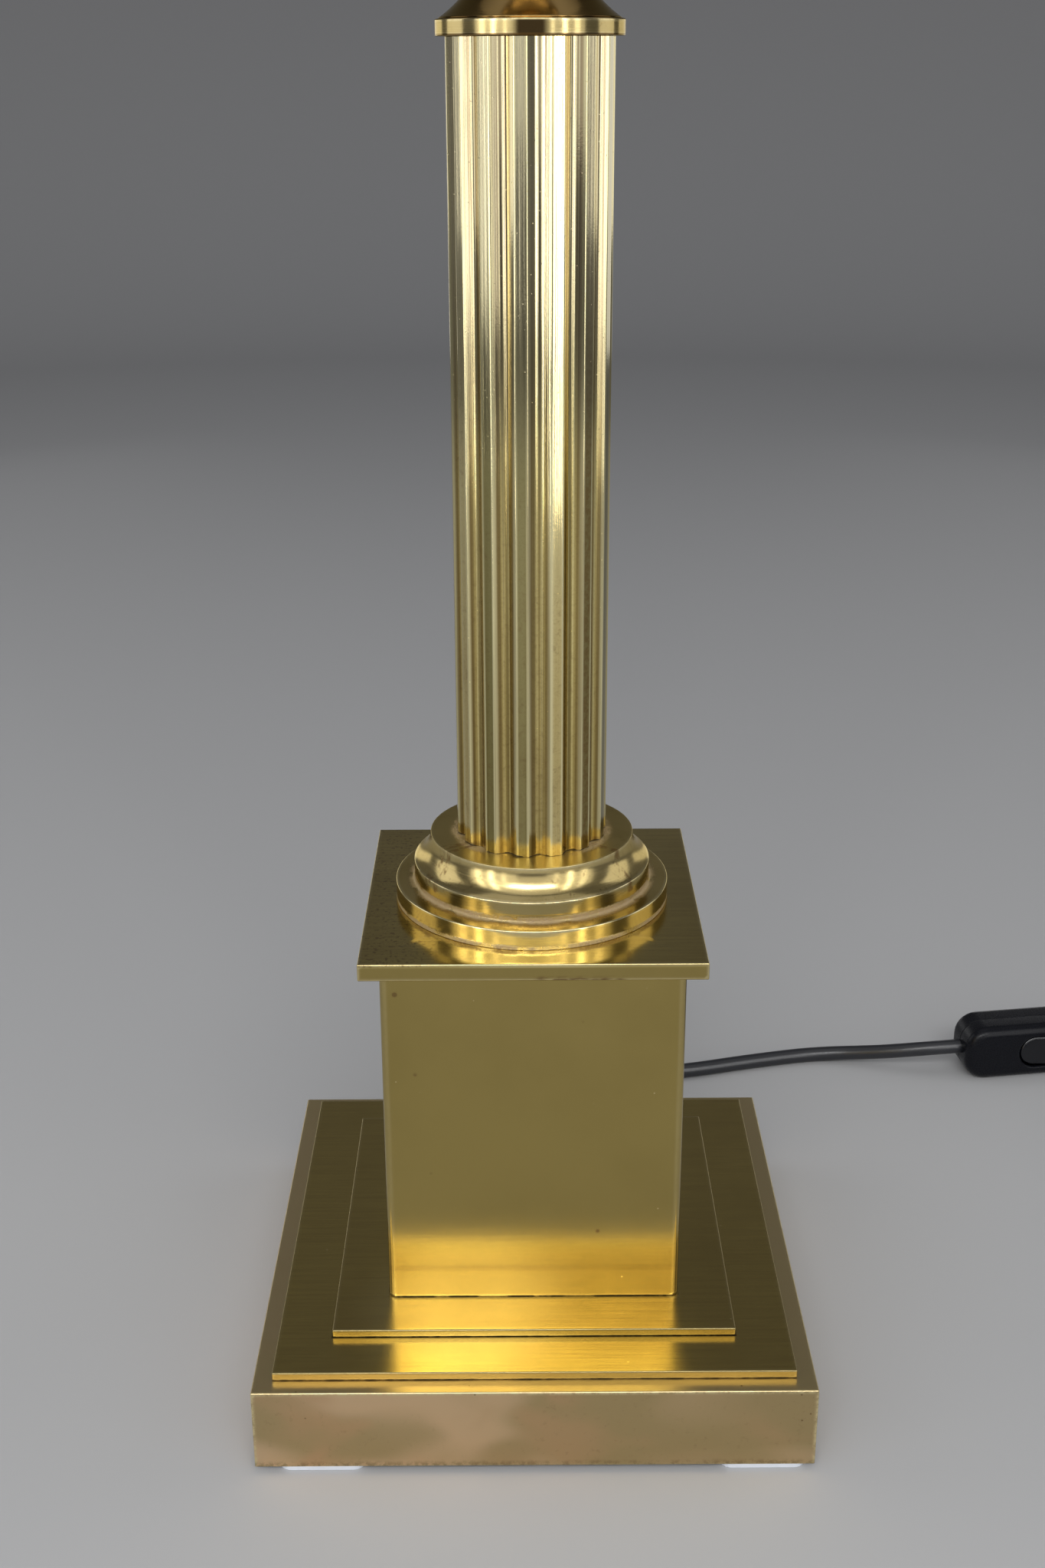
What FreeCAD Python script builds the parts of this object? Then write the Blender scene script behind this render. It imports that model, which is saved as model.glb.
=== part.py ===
import FreeCAD, Part
import math
import os
import re

import Sketcher

# Column table lamp, in millimetres, +Z up.
# The origin is on the floor, under the middle of the plinth.
# The switch, the coil and the plug lie on the same floor, to the right of the lamp.

SIZES = {
    # Plinth and what is under it
    "pad_height": 2.4,
    "pad_side": 28,
    "pad_corner": 4,
    "pad_left_inset": 7.5,
    "pad_right_inset": 2.5,
    "pad_inset": 1,
    "plinth_side": 180,
    "plinth_height": 28.8,
    "plinth_wall": 1.5,
    "plinth_edge": 0.5,
    "cover_thickness": 1.2,
    "cover_gap": 0.2,
    "weight_inset": 15,
    "weight_height": 14,
    "boss_radius": 6,
    "boss_inset": 5,
    "small_screw": 1.5,
    "small_head": 2.8,
    "small_head_height": 1.4,
    "small_screw_depth": 8,
    "screw_gap": 0.05,
    "tool_reach": 1,
    # Steps, pedestal and its cap
    "lower_step_side": 167.6,
    "lower_step_height": 2.9,
    "upper_step_side": 131.9,
    "upper_step_height": 2.8,
    "plate_edge": 0.4,
    "pedestal_side": 96.6,
    "pedestal_height": 121.4,
    "pedestal_wall": 1.5,
    "pedestal_corner": 2,
    "locator_thickness": 2,
    "locator_gap": 0.3,
    "cap_side": 108.9,
    "cap_height": 5.7,
    # Turned ring under the column
    "ring_radius": 45.1,
    "ring_disc_height": 6.6,
    "ring_band_radius": 38.9,
    "ring_band_height": 6.8,
    "ring_foot_round": 1,
    "ring_rim_radius": 33.3,
    "cavetto_height": 9.4,
    "ring_web": 5.8,
    "ring_cavity": 25,
    "spigot_height": 5,
    "spigot_gap": 0.15,
    # Fluted column
    "column_height": 243.4,
    "column_radius": 24.35,
    "column_bore": 20.8,
    "flute_count": 14,
    "flute_turn": 7.2,
    "flute_radius": 2.45,
    "flute_depth": 1.95,
    "flat_half": 1.6,
    "flat_edge": 0.7,
    # Capital, bell and collar
    "capital_radius": 27.1,
    "capital_height": 4.6,
    "bell_height": 31.7,
    "bell_top_radius": 9.2,
    "bell_curve": 37.8,
    "bell_wall": 1.2,
    "collar_height": 8,
    "collar_radius": 11.5,
    "collar_neck": 8.6,
    # Threaded tube that clamps the stack
    "rod_radius": 5,
    "rod_bore": 3.5,
    "rod_gap": 0.1,
    "rod_tail": 8,
    "nut_flats": 17,
    "nut_height": 5,
    "washer_radius": 15,
    "washer_height": 2,
    "lock_nut_flats": 14,
    "lock_nut_height": 4,
    # Lampholder
    "holder_neck_height": 6,
    "holder_dome_height": 12,
    "holder_skirt_height": 6.5,
    "holder_wall": 1.1,
    "holder_fit": 0.15,
    "shell_radius": 19.7,
    "shell_wall": 1,
    "shell_height": 33,
    "shell_lip": 3.6,
    "relief_depth": 0.2,
    "thread_fit": 0.07,
    "shade_ring_height": 7,
    "shade_ring_width": 3.8,
    "shade_ring_lip": 1.4,
    "socket_radius": 13.25,
    "socket_depth": 22,
    "socket_wall": 0.35,
    "insulator_gap": 0.25,
    "insulator_web": 7,
    "contact_radius": 4.5,
    "contact_rise": 2.2,
    "contact_clear": 3,
    "contact_gap": 0.05,
    "rivet_radius": 1.2,
    "shell_rivet_place": 10,
    "strap_thickness": 0.6,
    "terminal_place": 8.5,
    "terminal_side": 4.5,
    # Wiring inside the lamp
    "wire_radius": 1.1,
    "block_length": 14,
    "block_width": 16,
    "block_height": 8,
    "block_inset": 26,
    "clamp_inset": 28,
    "clamp_length": 7,
    "clamp_width": 20,
    "clamp_screw_place": 7,
    "clamp_floor": 1.5,
    "cord_strip": 6.6,
    # Cord
    "cord_radius": 3.15,
    "cord_fit": 0.05,
    "cord_exit_height": 10.1,
    "boot_length": 24,
    "boot_root": 5.4,
    "boot_tip": 3.9,
    "boot_flange": 7,
    "boot_flange_height": 1.6,
    "boot_neck": 4.6,
    "coil_x": 296,
    "coil_y": 122,
    "coil_mean": 34.6,
    "coil_turns_across": 3,
    "coil_layers": 2,
    "tie_width": 7,
    "tie_thickness": 0.8,
    "tie_gap": 0.3,
    # Switch on the cord, lying on its long edge
    "switch_x": 225.4,
    "switch_y": 169.4,
    "switch_turn": 8,
    "switch_length": 68,
    "switch_breadth": 25,
    "switch_thickness": 21,
    "switch_corner": 8,
    "switch_round": 3,
    "switch_wall": 1.8,
    "rocker_half": 8.9,
    "rocker_side_half": 7.2,
    "rocker_gap": 0.9,
    "rocker_side_gap": 0.3,
    "rocker_rise": 1.3,
    "rocker_depth": 7.5,
    "rocker_dish": 22,
    "rocker_tilt": 7,
    "pivot_depth": 5,
    "pin_radius": 1,
    "pin_fit": 0.06,
    "arm_half": 1,
    "arm_reach": 8.2,
    "slider_place": 1,
    "slider_half": 6,
    "slider_breadth": 4,
    "slider_thickness": 2,
    "slider_slot": 1.3,
    "slider_gap": 0.05,
    "switch_terminal_place": 17,
    "switch_terminal_side": 6,
    "switch_screw_place": 27,
    "case_screw": 1.05,
    "case_screw_reach": 4,
    "case_head": 2.25,
    "case_head_height": 1.3,
    "case_head_sink": 2,
    "post_radius": 2.8,
    "cheek_length": 6,
    "cheek_wall": 1.2,
    "rail_margin": 3,
    "slot_wall": 0.4,
    "arm_side_gap": 0.6,
    # Plug
    "plug_x": 248.9,
    "plug_y": 57.12,
    "plug_turn": 187,
    "plug_width": 35,
    "plug_neck": 13,
    "plug_length": 34,
    "plug_height": 13.7,
    "plug_round": 2,
    "plug_pin_radius": 2,
    "plug_pin_length": 19,
    "plug_pin_pitch": 19,
    "plug_boot_length": 20,
    "plug_boot_wall": 4,
    "plug_shoulder": 10.2,
    "plug_pin_root": 6,
    "plug_pin_tip": 1,
}

# Levels and places that follow from the sizes above
LEVELS = {
    "pad_depth": "plinth_side / 2 - pad_inset - pad_side / 2",
    "pad_left": "plinth_side / 2 - pad_left_inset - pad_side / 2",
    "pad_right": "plinth_side / 2 - pad_right_inset - pad_side / 2",
    "weight_side": "plinth_side - 2 * weight_inset",
    "boss_place": "pad_depth - pad_side / 2 - boss_inset",
    "clamp_place": "plinth_side / 2 - clamp_inset",
    "block_place": "clamp_place - block_inset",
    "block_middle": "weight_bottom - block_height / 2",
    "plinth_top": "pad_height + plinth_height",
    "cover_top": "pad_height + cover_thickness",
    "weight_top": "plinth_top - plinth_wall",
    "weight_bottom": "weight_top - weight_height",
    "lower_step_top": "plinth_top + lower_step_height",
    "upper_step_top": "lower_step_top + upper_step_height",
    "pedestal_top": "upper_step_top + pedestal_height",
    "cap_top": "pedestal_top + cap_height",
    "ring_band_top": "ring_disc_height + ring_band_height",
    "ring_height": "ring_band_top + cavetto_height",
    "ring_top": "cap_top + ring_height",
    "column_top": "ring_top + column_height",
    "capital_top": "column_top + capital_height",
    "bell_top": "capital_top + bell_height",
    "collar_top": "bell_top + collar_height",
    "rod_hole": "rod_radius + rod_gap",
    "spigot_radius": "column_bore - spigot_gap",
    "holder_ledge": "collar_top + holder_neck_height + holder_dome_height",
    "relief_radius": "shell_radius - relief_depth",
    "skirt_inner": "relief_radius + holder_fit",
    "skirt_outer": "skirt_inner + holder_wall",
    "skirt_top": "holder_ledge + holder_skirt_height",
    "insulator_radius": "shell_radius - shell_wall - insulator_gap",
    "socket_floor": "holder_ledge + insulator_web",
    "contact_sink": "socket_wall + contact_rise + contact_gap",
    "contact_web": "insulator_web - contact_sink",
    "terminal_level": "holder_ledge - strap_thickness - terminal_side",
    "cord_turn_step": "2 * cord_radius",
    "coil_half": "coil_turns_across * cord_radius",
    "coil_height": "coil_layers * cord_turn_step",
    "switch_face": "switch_thickness / 2",
    "pivot_place": "switch_face - pivot_depth",
    "cheek_inner": "rocker_side_half + 2 * rocker_side_gap",
    "plug_axis": "plug_height / 2",
}

# Free cord, in the room's frame: chosen by hand, from the boot to the switch
RUN_TO_SWITCH = [
    (0, 114, 10.1),
    (0.4, 125.5, 9.7),
    (4.5, 137.3, 8.3),
    (12.4, 147, 6.3),
    (23.5, 153.7, 4.5),
    (37.1, 156.8, 3.5),
    (53, 157.9, 3.2),
    (72, 160.6, 3.2),
    (94, 166.9, 3.2),
    (116, 172.2, 3.2),
    (128, 174.2, 3.3),
    (139.5, 173.8, 4.1),
    (150, 170.9, 5.9),
    (160, 167.4, 8.3),
    (170.3, 164.6, 10.7),
    (180.9, 163.15, 12.45),
    (191.73, 164.67, 12.5),
]

# From the switch to where the coil begins, on its outer lower turn
RUN_TO_COIL = [
    (259.07, 174.13, 12.5),
    (269, 175.53, 12.3),
    (281, 178.2, 8.4),
    (296, 179.6, 4.6),
    (312, 176, 3.3),
    (326, 166, 3.15),
    (334.3, 152, 3.15),
    (337.1, 137, 3.15),
    (336.9, 122, 3.15),
]

# From the end of the coil, on its outer upper turn, to the plug's boot
RUN_TO_PLUG = [
    (336.9, 122, 9.45),
    (336.8, 110.5, 9.4),
    (337.1, 98.5, 8.9),
    (336.2, 87, 8),
    (331.4, 77.1, 7.3),
    (323.5, 69.5, 6.9),
    (313.4, 65, 6.85),
    (302.5, 63.7, 6.85),
]

WORD = re.compile(r"[a-z][a-z_]*[a-z]")
X_AXIS = FreeCAD.Vector(1, 0, 0)
Y_AXIS = FreeCAD.Vector(0, 1, 0)
Z_AXIS = FreeCAD.Vector(0, 0, 1)

doc = FreeCAD.newDocument("ColumnTableLamp")
sheet = doc.addObject("Spreadsheet::Sheet", "Sizes")
sub_parts = []


def fill_sheet():
    for row, (name, amount) in enumerate(SIZES.items(), start=1):
        sheet.set("A%d" % row, name)
        sheet.set("B%d" % row, str(amount))
        sheet.setAlias("B%d" % row, name)
    doc.recompute()


def full(formula):
    """Write a formula with each size as its cell and each level as its own formula."""
    def swap(match):
        word = match.group(0)
        if word in SIZES:
            return "Sizes." + word
        if word in LEVELS:
            return "(" + full(LEVELS[word]) + ")"
        return word
    return WORD.sub(swap, str(formula))


def value(formula):
    return float(sheet.evalExpression(full(formula)))


def bind(thing, **formulas):
    for name, formula in formulas.items():
        thing.setExpression(name, full(formula))
    return thing


def put(thing, x="0", y="0", z="0", turn=None):
    """Place a thing by formulas, with an optional turn about +Z."""
    for letter, formula in (("x", x), ("y", y), ("z", z)):
        thing.setExpression(".Placement.Base." + letter, full(formula))
    if turn is not None:
        thing.setExpression(".Placement.Rotation.Angle", full(turn))
    return thing


def block(name, length, width, height, x="0", y="0", z="0"):
    """A box centred on x and y, standing on z."""
    thing = doc.addObject("Part::Box", name)
    bind(thing, Length=length, Width=width, Height=height)
    return put(thing, f"{x} - ({length}) / 2", f"{y} - ({width}) / 2", z)


def rod(name, radius, length, x="0", y="0", z="0", along=Z_AXIS):
    """A cylinder from a point along +X, +Y or +Z."""
    thing = doc.addObject("Part::Cylinder", name)
    bind(thing, Radius=radius, Height=length)
    turn = FreeCAD.Rotation(Z_AXIS, along)
    thing.Placement = FreeCAD.Placement(FreeCAD.Vector(0, 0, 0), turn)
    return put(thing, x, y, z)


def cone(name, low_radius, high_radius, length, x="0", y="0", z="0", along=Z_AXIS):
    thing = doc.addObject("Part::Cone", name)
    bind(thing, Radius1=low_radius, Radius2=high_radius, Height=length)
    turn = FreeCAD.Rotation(Z_AXIS, along)
    thing.Placement = FreeCAD.Placement(FreeCAD.Vector(0, 0, 0), turn)
    return put(thing, x, y, z)


def hexagon(name, flats, height, z):
    thing = doc.addObject("Part::Prism", name)
    thing.Polygon = 6
    bind(thing, Circumradius=f"({flats}) / 2 / cos(30)", Height=height)
    return put(thing, z=z)


def join(name, *things):
    joined = doc.addObject("Part::MultiFuse", name)
    joined.Shapes = list(things)
    joined.Refine = True
    return joined


def cut(name, base, *tools):
    result = doc.addObject("Part::Cut", name)
    result.Base = base
    result.Tool = tools[0] if len(tools) == 1 else join(name + "_tools", *tools)
    return result


def group(name, *things):
    """Separate solids of one kind, kept in one node."""
    result = doc.addObject("Part::Compound", name)
    result.Links = list(things)
    return result


def keep(thing, node):
    thing.Label = node
    sub_parts.append(thing)
    return thing


def new_body(name):
    return doc.addObject("PartDesign::Body", name)


def sketch_on(body, role, name):
    sketch = body.newObject("Sketcher::SketchObject", name)
    plane = [item for item in body.Origin.OriginFeatures if item.Role == role][0]
    sketch.AttachmentSupport = [(plane, "")]
    sketch.MapMode = "FlatFace"
    return sketch


def tie(sketch, kind, side, end, formula):
    """Hold one end of a side, or a centre, at a distance from the sketch's origin."""
    number = sketch.addConstraint(
        Sketcher.Constraint(kind, -1, 1, side, end, value(formula)))
    sketch.setExpression("Constraints[%d]" % number, full(formula))


def arc_between(start, end, radius, turn):
    """A minor arc; turn is 1 where it goes anticlockwise and -1 where it goes clockwise."""
    middle = (start + end) * 0.5
    chord = end - start
    left = FreeCAD.Vector(-chord.y, chord.x, 0).normalize()
    reach = math.sqrt(max(radius ** 2 - (chord.Length / 2) ** 2, 0))
    centre = middle + left * reach * turn
    first, last = (start, end) if turn > 0 else (end, start)
    angles = [math.atan2(p.y - centre.y, p.x - centre.x) for p in (first, last)]
    circle = Part.Circle(centre, FreeCAD.Vector(0, 0, 1), radius)
    return Part.ArcOfCircle(circle, angles[0], angles[1])


def outline(sketch, corners, arcs=None):
    """A closed outline through corners; arcs maps a side to its radius and its turn."""
    arcs = arcs or {}
    points = [FreeCAD.Vector(value(x), value(y), 0) for x, y in corners]
    count = len(points)
    ends = []
    for side, start in enumerate(points):
        end = points[(side + 1) % count]
        if side in arcs:
            radius, turn = arcs[side]
            number = sketch.addGeometry(arc_between(start, end, value(radius), turn), False)
            ends.append((number, 1, 2) if turn > 0 else (number, 2, 1))
        else:
            number = sketch.addGeometry(Part.LineSegment(start, end), False)
            ends.append((number, 1, 2))
    for side in range(count):
        this_side, next_side = ends[side], ends[(side + 1) % count]
        sketch.addConstraint(Sketcher.Constraint(
            "Coincident", this_side[0], this_side[2], next_side[0], next_side[1]))
    for side, (x, y) in enumerate(corners):
        tie(sketch, "DistanceX", ends[side][0], ends[side][1], x)
        tie(sketch, "DistanceY", ends[side][0], ends[side][1], y)
    for side, (radius, turn) in arcs.items():
        number = sketch.addConstraint(
            Sketcher.Constraint("Radius", ends[side][0], value(radius)))
        sketch.setExpression("Constraints[%d]" % number, full(radius))
    return sketch


def round_outline(sketch, radius, x="0", y="0"):
    """A circle on the sketch."""
    centre = FreeCAD.Vector(value(x), value(y), 0)
    number = sketch.addGeometry(
        Part.Circle(centre, FreeCAD.Vector(0, 0, 1), value(radius)), False)
    tie(sketch, "DistanceX", number, 3, x)
    tie(sketch, "DistanceY", number, 3, y)
    held = sketch.addConstraint(Sketcher.Constraint("Radius", number, value(radius)))
    sketch.setExpression("Constraints[%d]" % held, full(radius))
    return sketch


def rounded_box_outline(sketch, half_x, half_y, corner):
    """A rectangle about the origin with four round corners."""
    a, b, r = f"({half_x})", f"({half_y})", f"({corner})"
    corners = [
        (f"{r} - {a}", f"-{b}"), (f"{a} - {r}", f"-{b}"),
        (f"{a}", f"{r} - {b}"), (f"{a}", f"{b} - {r}"),
        (f"{a} - {r}", f"{b}"), (f"{r} - {a}", f"{b}"),
        (f"-{a}", f"{b} - {r}"), (f"-{a}", f"{r} - {b}"),
    ]
    return outline(sketch, corners, {side: (corner, 1) for side in (1, 3, 5, 7)})


def pad(body, sketch, length, middle=False):
    feature = body.newObject("PartDesign::Pad", sketch.Name + "_pad")
    feature.Profile = sketch
    feature.Midplane = middle
    bind(feature, Length=length)
    doc.recompute()
    return feature


def pocket(body, sketch, depth=None, towards_normal=True):
    """Cut a sketch into the body, right through where no depth is given."""
    before = body.Shape.Volume
    feature = body.newObject("PartDesign::Pocket", sketch.Name + "_pocket")
    feature.Profile = sketch
    feature.Reversed = towards_normal
    if depth is None:
        feature.Type = "ThroughAll"
    else:
        bind(feature, Length=depth)
    doc.recompute()
    if not body.Shape.Volume < before:
        raise RuntimeError(sketch.Name + " cuts nothing")
    return feature


def turned(name, corners, arcs=None):
    """A piece turned about +Z from its half section: pairs of radius and height."""
    body = new_body(name)
    sketch = outline(sketch_on(body, "XZ_Plane", name + "_section"), corners, arcs)
    feature = body.newObject("PartDesign::Revolution", name + "_turning")
    feature.Profile = sketch
    feature.ReferenceAxis = (sketch, ["V_Axis"])
    feature.Angle = 360
    doc.recompute()
    return body


def round_edges(body, radius, wanted):
    """Round the edges whose middle point passes the test."""
    names = []
    for number, edge in enumerate(body.Tip.Shape.Edges, start=1):
        middle = edge.valueAt((edge.FirstParameter + edge.LastParameter) / 2)
        if wanted(edge, middle):
            names.append("Edge%d" % number)
    feature = body.newObject("PartDesign::Fillet", body.Name + "_rounding")
    feature.Base = (feature.BaseFeature or body.Tip, names)
    bind(feature, Radius=radius)
    doc.recompute()
    return feature


def straight(edge):
    return edge.Curve.TypeId == "Part::GeomLine"


def is_upright(edge):
    return straight(edge) and abs(edge.tangentAt(edge.FirstParameter).z) > 0.99


def is_level(edge):
    return straight(edge) and abs(edge.tangentAt(edge.FirstParameter).z) < 0.01


def route_wire(points):
    """Straight runs joined by arcs as large as their two runs allow; returns wire and radii."""
    spots = [FreeCAD.Vector(*point) for point in points]
    edges = []
    radii = []
    here = spots[0]
    for before, corner, after in zip(spots, spots[1:], spots[2:]):
        back = before - corner
        ahead = after - corner
        half_turn = (math.pi - back.getAngle(ahead)) / 2
        leg = 0.45 * min(back.Length, ahead.Length)
        start = corner + back.normalize() * leg
        end = corner + ahead.normalize() * leg
        radius = leg / math.tan(half_turn)
        towards_centre = (back + ahead).normalize()
        bulge = radius / math.cos(half_turn) - radius
        edges.append(Part.LineSegment(here, start).toShape())
        edges.append(Part.Arc(start, corner + towards_centre * bulge, end).toShape())
        radii.append(radius)
        here = end
    edges.append(Part.LineSegment(here, spots[-1]).toShape())
    return Part.Wire(edges), radii


def tube_shape(points, radius):
    """A round tube along a route, checked against its section times its length."""
    wire, radii = route_wire(points)
    start = FreeCAD.Vector(*points[0])
    heading = FreeCAD.Vector(*points[1]) - start
    ring = Part.Wire(Part.Circle(start, heading, radius).toShape())
    solid = wire.makePipeShell([ring], True, False)
    expected = math.pi * radius ** 2 * wire.Length
    if abs(solid.Volume - expected) > 0.002 * expected:
        raise RuntimeError("a tube has the wrong volume")
    return solid, wire.Length, radii


def tube(name, points, radius):
    solid, length, radii = tube_shape(points, radius)
    thing = doc.addObject("Part::Feature", name)
    thing.Shape = solid
    print(name, "length %.1f" % length, "radii", " ".join("%.0f" % r for r in radii))
    return thing


def small_screws(name, places, head_z, length):
    """Screws that go up from a head; places are pairs of formulas."""
    screws = []
    for number, (x, y) in enumerate(places):
        head = rod(f"{name}_head_{number}", "small_head", "small_head_height", x, y, head_z)
        shank_z = f"{head_z} + small_head_height"
        shank = rod(f"{name}_shank_{number}", "small_screw", length, x, y, shank_z)
        screws.append(join(f"{name}_{number}", head, shank))
    return group(name, *screws)


def screw_holes(name, places, z, length):
    return [rod(f"{name}_{number}", "small_screw + screw_gap", length, x, y, z)
            for number, (x, y) in enumerate(places)]


def corner_places(place):
    return [(f"{across}{place}", f"{along}{place}") for across in ("-", "") for along in ("-", "")]


# Plinth

def foot_pads():
    pads = []
    rows = (("front", "-pad_depth"), ("back", "pad_depth"))
    columns = (("left", "-pad_left"), ("right", "pad_right"))
    for row, y in rows:
        for column, x in columns:
            body = new_body(f"pad_{row}_{column}")
            sketch = sketch_on(body, "XY_Plane", f"pad_{row}_{column}_outline")
            rounded_box_outline(sketch, "pad_side / 2", "pad_side / 2", "pad_corner")
            pad(body, sketch, "pad_height")
            pads.append(put(body, x, y, "0"))
    keep(group("foot_pads", *pads), "foot_pads")


def plinth_cover():
    body = new_body("plinth_shell")
    sketch = sketch_on(body, "XY_Plane", "plinth_outline")
    half = "plinth_side / 2"
    outline(sketch, [("-" + half, "-" + half), (half, "-" + half), (half, half), ("-" + half, half)])
    pad(body, sketch, "plinth_height")
    inner = f"({half} - plinth_wall)"
    hollow = sketch_on(body, "XY_Plane", "plinth_hollow")
    corners = [("-" + inner, "-" + inner), (inner, "-" + inner), (inner, inner), ("-" + inner, inner)]
    pocket(body, outline(hollow, corners), "plinth_height - plinth_wall")
    hole = round_outline(sketch_on(body, "XY_Plane", "plinth_rod_hole"), "rod_hole")
    pocket(body, hole)
    side = value(half) - 0.01

    def outside(edge, middle):
        at_side = max(abs(middle.x), abs(middle.y)) > side
        at_corner = min(abs(middle.x), abs(middle.y)) > side
        top = is_level(edge) and middle.z > 1 and at_side
        return top or (is_upright(edge) and at_corner)
    round_edges(body, "plinth_edge", outside)
    put(body, "0", "0", "pad_height")
    wall_inside = "plinth_side / 2 - plinth_wall - 1"
    boot_hole = rod("boot_hole", "boot_neck + cord_fit", "plinth_wall + 2",
                    "0", wall_inside, "cord_exit_height", along=Y_AXIS)
    keep(cut("plinth_with_exit", body, boot_hole), "plinth_cover")


def base_weight():
    slab = block("weight_slab", "weight_side", "weight_side", "weight_height", z="weight_bottom")
    places = corner_places("boss_place")
    bosses = [rod(f"boss_{n}", "boss_radius", "weight_bottom - cover_top + 1", x, y, "cover_top")
              for n, (x, y) in enumerate(places)]
    holes = screw_holes("boss_hole", places, "cover_top - 1", "small_screw_depth + 2")
    centre = rod("weight_hole", "rod_hole", "weight_height + 2", z="weight_bottom - 1")
    clamp_holes = screw_holes("clamp_hole", clamp_screw_places(), "weight_bottom - 1",
                              "small_screw_depth + 1")
    block_hole = screw_holes("block_hole", [("0", "block_place")], "weight_bottom - 1",
                             "small_screw_depth + 1")
    solid = join("weight_solid", slab, *bosses)
    tools = holes + [centre] + clamp_holes + block_hole
    keep(cut("base_weight", solid, *tools), "base_weight")


def bottom_cover():
    side = "(plinth_side - 2 * plinth_wall - 2 * cover_gap)"
    plate = block("cover_plate", side, side, "cover_thickness", z="pad_height")
    places = corner_places("boss_place")
    holes = screw_holes("cover_hole", places, "pad_height - 1", "cover_thickness + 2")
    keep(cut("bottom_cover", plate, *holes), "bottom_cover")
    head_z = "pad_height - small_head_height"
    screws = small_screws("cover_screws", places, head_z, "cover_thickness + small_screw_depth")
    keep(screws, "cover_screws")


# Steps, pedestal and cap

def square_plate(node, side, height, z, edge="plate_edge"):
    """A square plate with a hole for the threaded tube and softened outer edges."""
    body = new_body(node)
    half = f"({side} / 2)"
    corners = [("-" + half, "-" + half), (half, "-" + half), (half, half), ("-" + half, half)]
    sketch = outline(sketch_on(body, "XY_Plane", node + "_outline"), corners)
    round_outline(sketch, "rod_hole")
    pad(body, sketch, height)
    reach = value(half) - 0.01

    def outside(edge_shape, middle):
        at_side = max(abs(middle.x), abs(middle.y)) > reach
        at_corner = min(abs(middle.x), abs(middle.y)) > reach
        top = is_level(edge_shape) and middle.z > 1 and at_side
        return top or (is_upright(edge_shape) and at_corner)
    round_edges(body, edge, outside)
    return keep(put(body, z=z), node)


def pedestal_tube():
    body = new_body("pedestal_tube")
    sketch = sketch_on(body, "XY_Plane", "pedestal_outline")
    rounded_box_outline(sketch, "pedestal_side / 2", "pedestal_side / 2", "pedestal_corner")
    inner = "pedestal_side / 2 - pedestal_wall"
    rounded_box_outline(sketch, inner, inner, "pedestal_corner - pedestal_wall / 2")
    pad(body, sketch, "pedestal_height")
    keep(put(body, z="upper_step_top"), "pedestal_tube")


def locator(node, z):
    """A plate inside the square tube that keeps it centred on the threaded tube."""
    body = new_body(node)
    sketch = sketch_on(body, "XY_Plane", node + "_outline")
    half = "pedestal_side / 2 - pedestal_wall - locator_gap"
    rounded_box_outline(sketch, half, half, "pedestal_corner")
    round_outline(sketch, "rod_hole")
    pad(body, sketch, "locator_thickness")
    keep(put(body, z=z), node)


# Ring, column, capital and bell

def column_base_ring():
    drop = "(ring_band_radius - ring_rim_radius)"
    corners = [
        ("ring_cavity", "0"),
        ("ring_radius", "0"),
        ("ring_radius", "ring_disc_height"),
        ("ring_band_radius + ring_foot_round", "ring_disc_height"),
        ("ring_band_radius", "ring_disc_height + ring_foot_round"),
        ("ring_band_radius", "ring_band_top"),
        ("ring_rim_radius", "ring_height"),
        ("spigot_radius", "ring_height"),
        ("spigot_radius", "ring_height + spigot_height"),
        ("rod_hole", "ring_height + spigot_height"),
        ("rod_hole", "ring_height - ring_web"),
        ("ring_cavity", "ring_height - ring_web"),
    ]
    cavetto = f"({drop} ^ 2 + cavetto_height ^ 2) / (2 * {drop})"
    arcs = {3: ("ring_foot_round", -1), 5: (cavetto, -1)}
    body = turned("column_base_ring", corners, arcs)
    keep(put(body, z="cap_top"), "column_base_ring")


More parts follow.
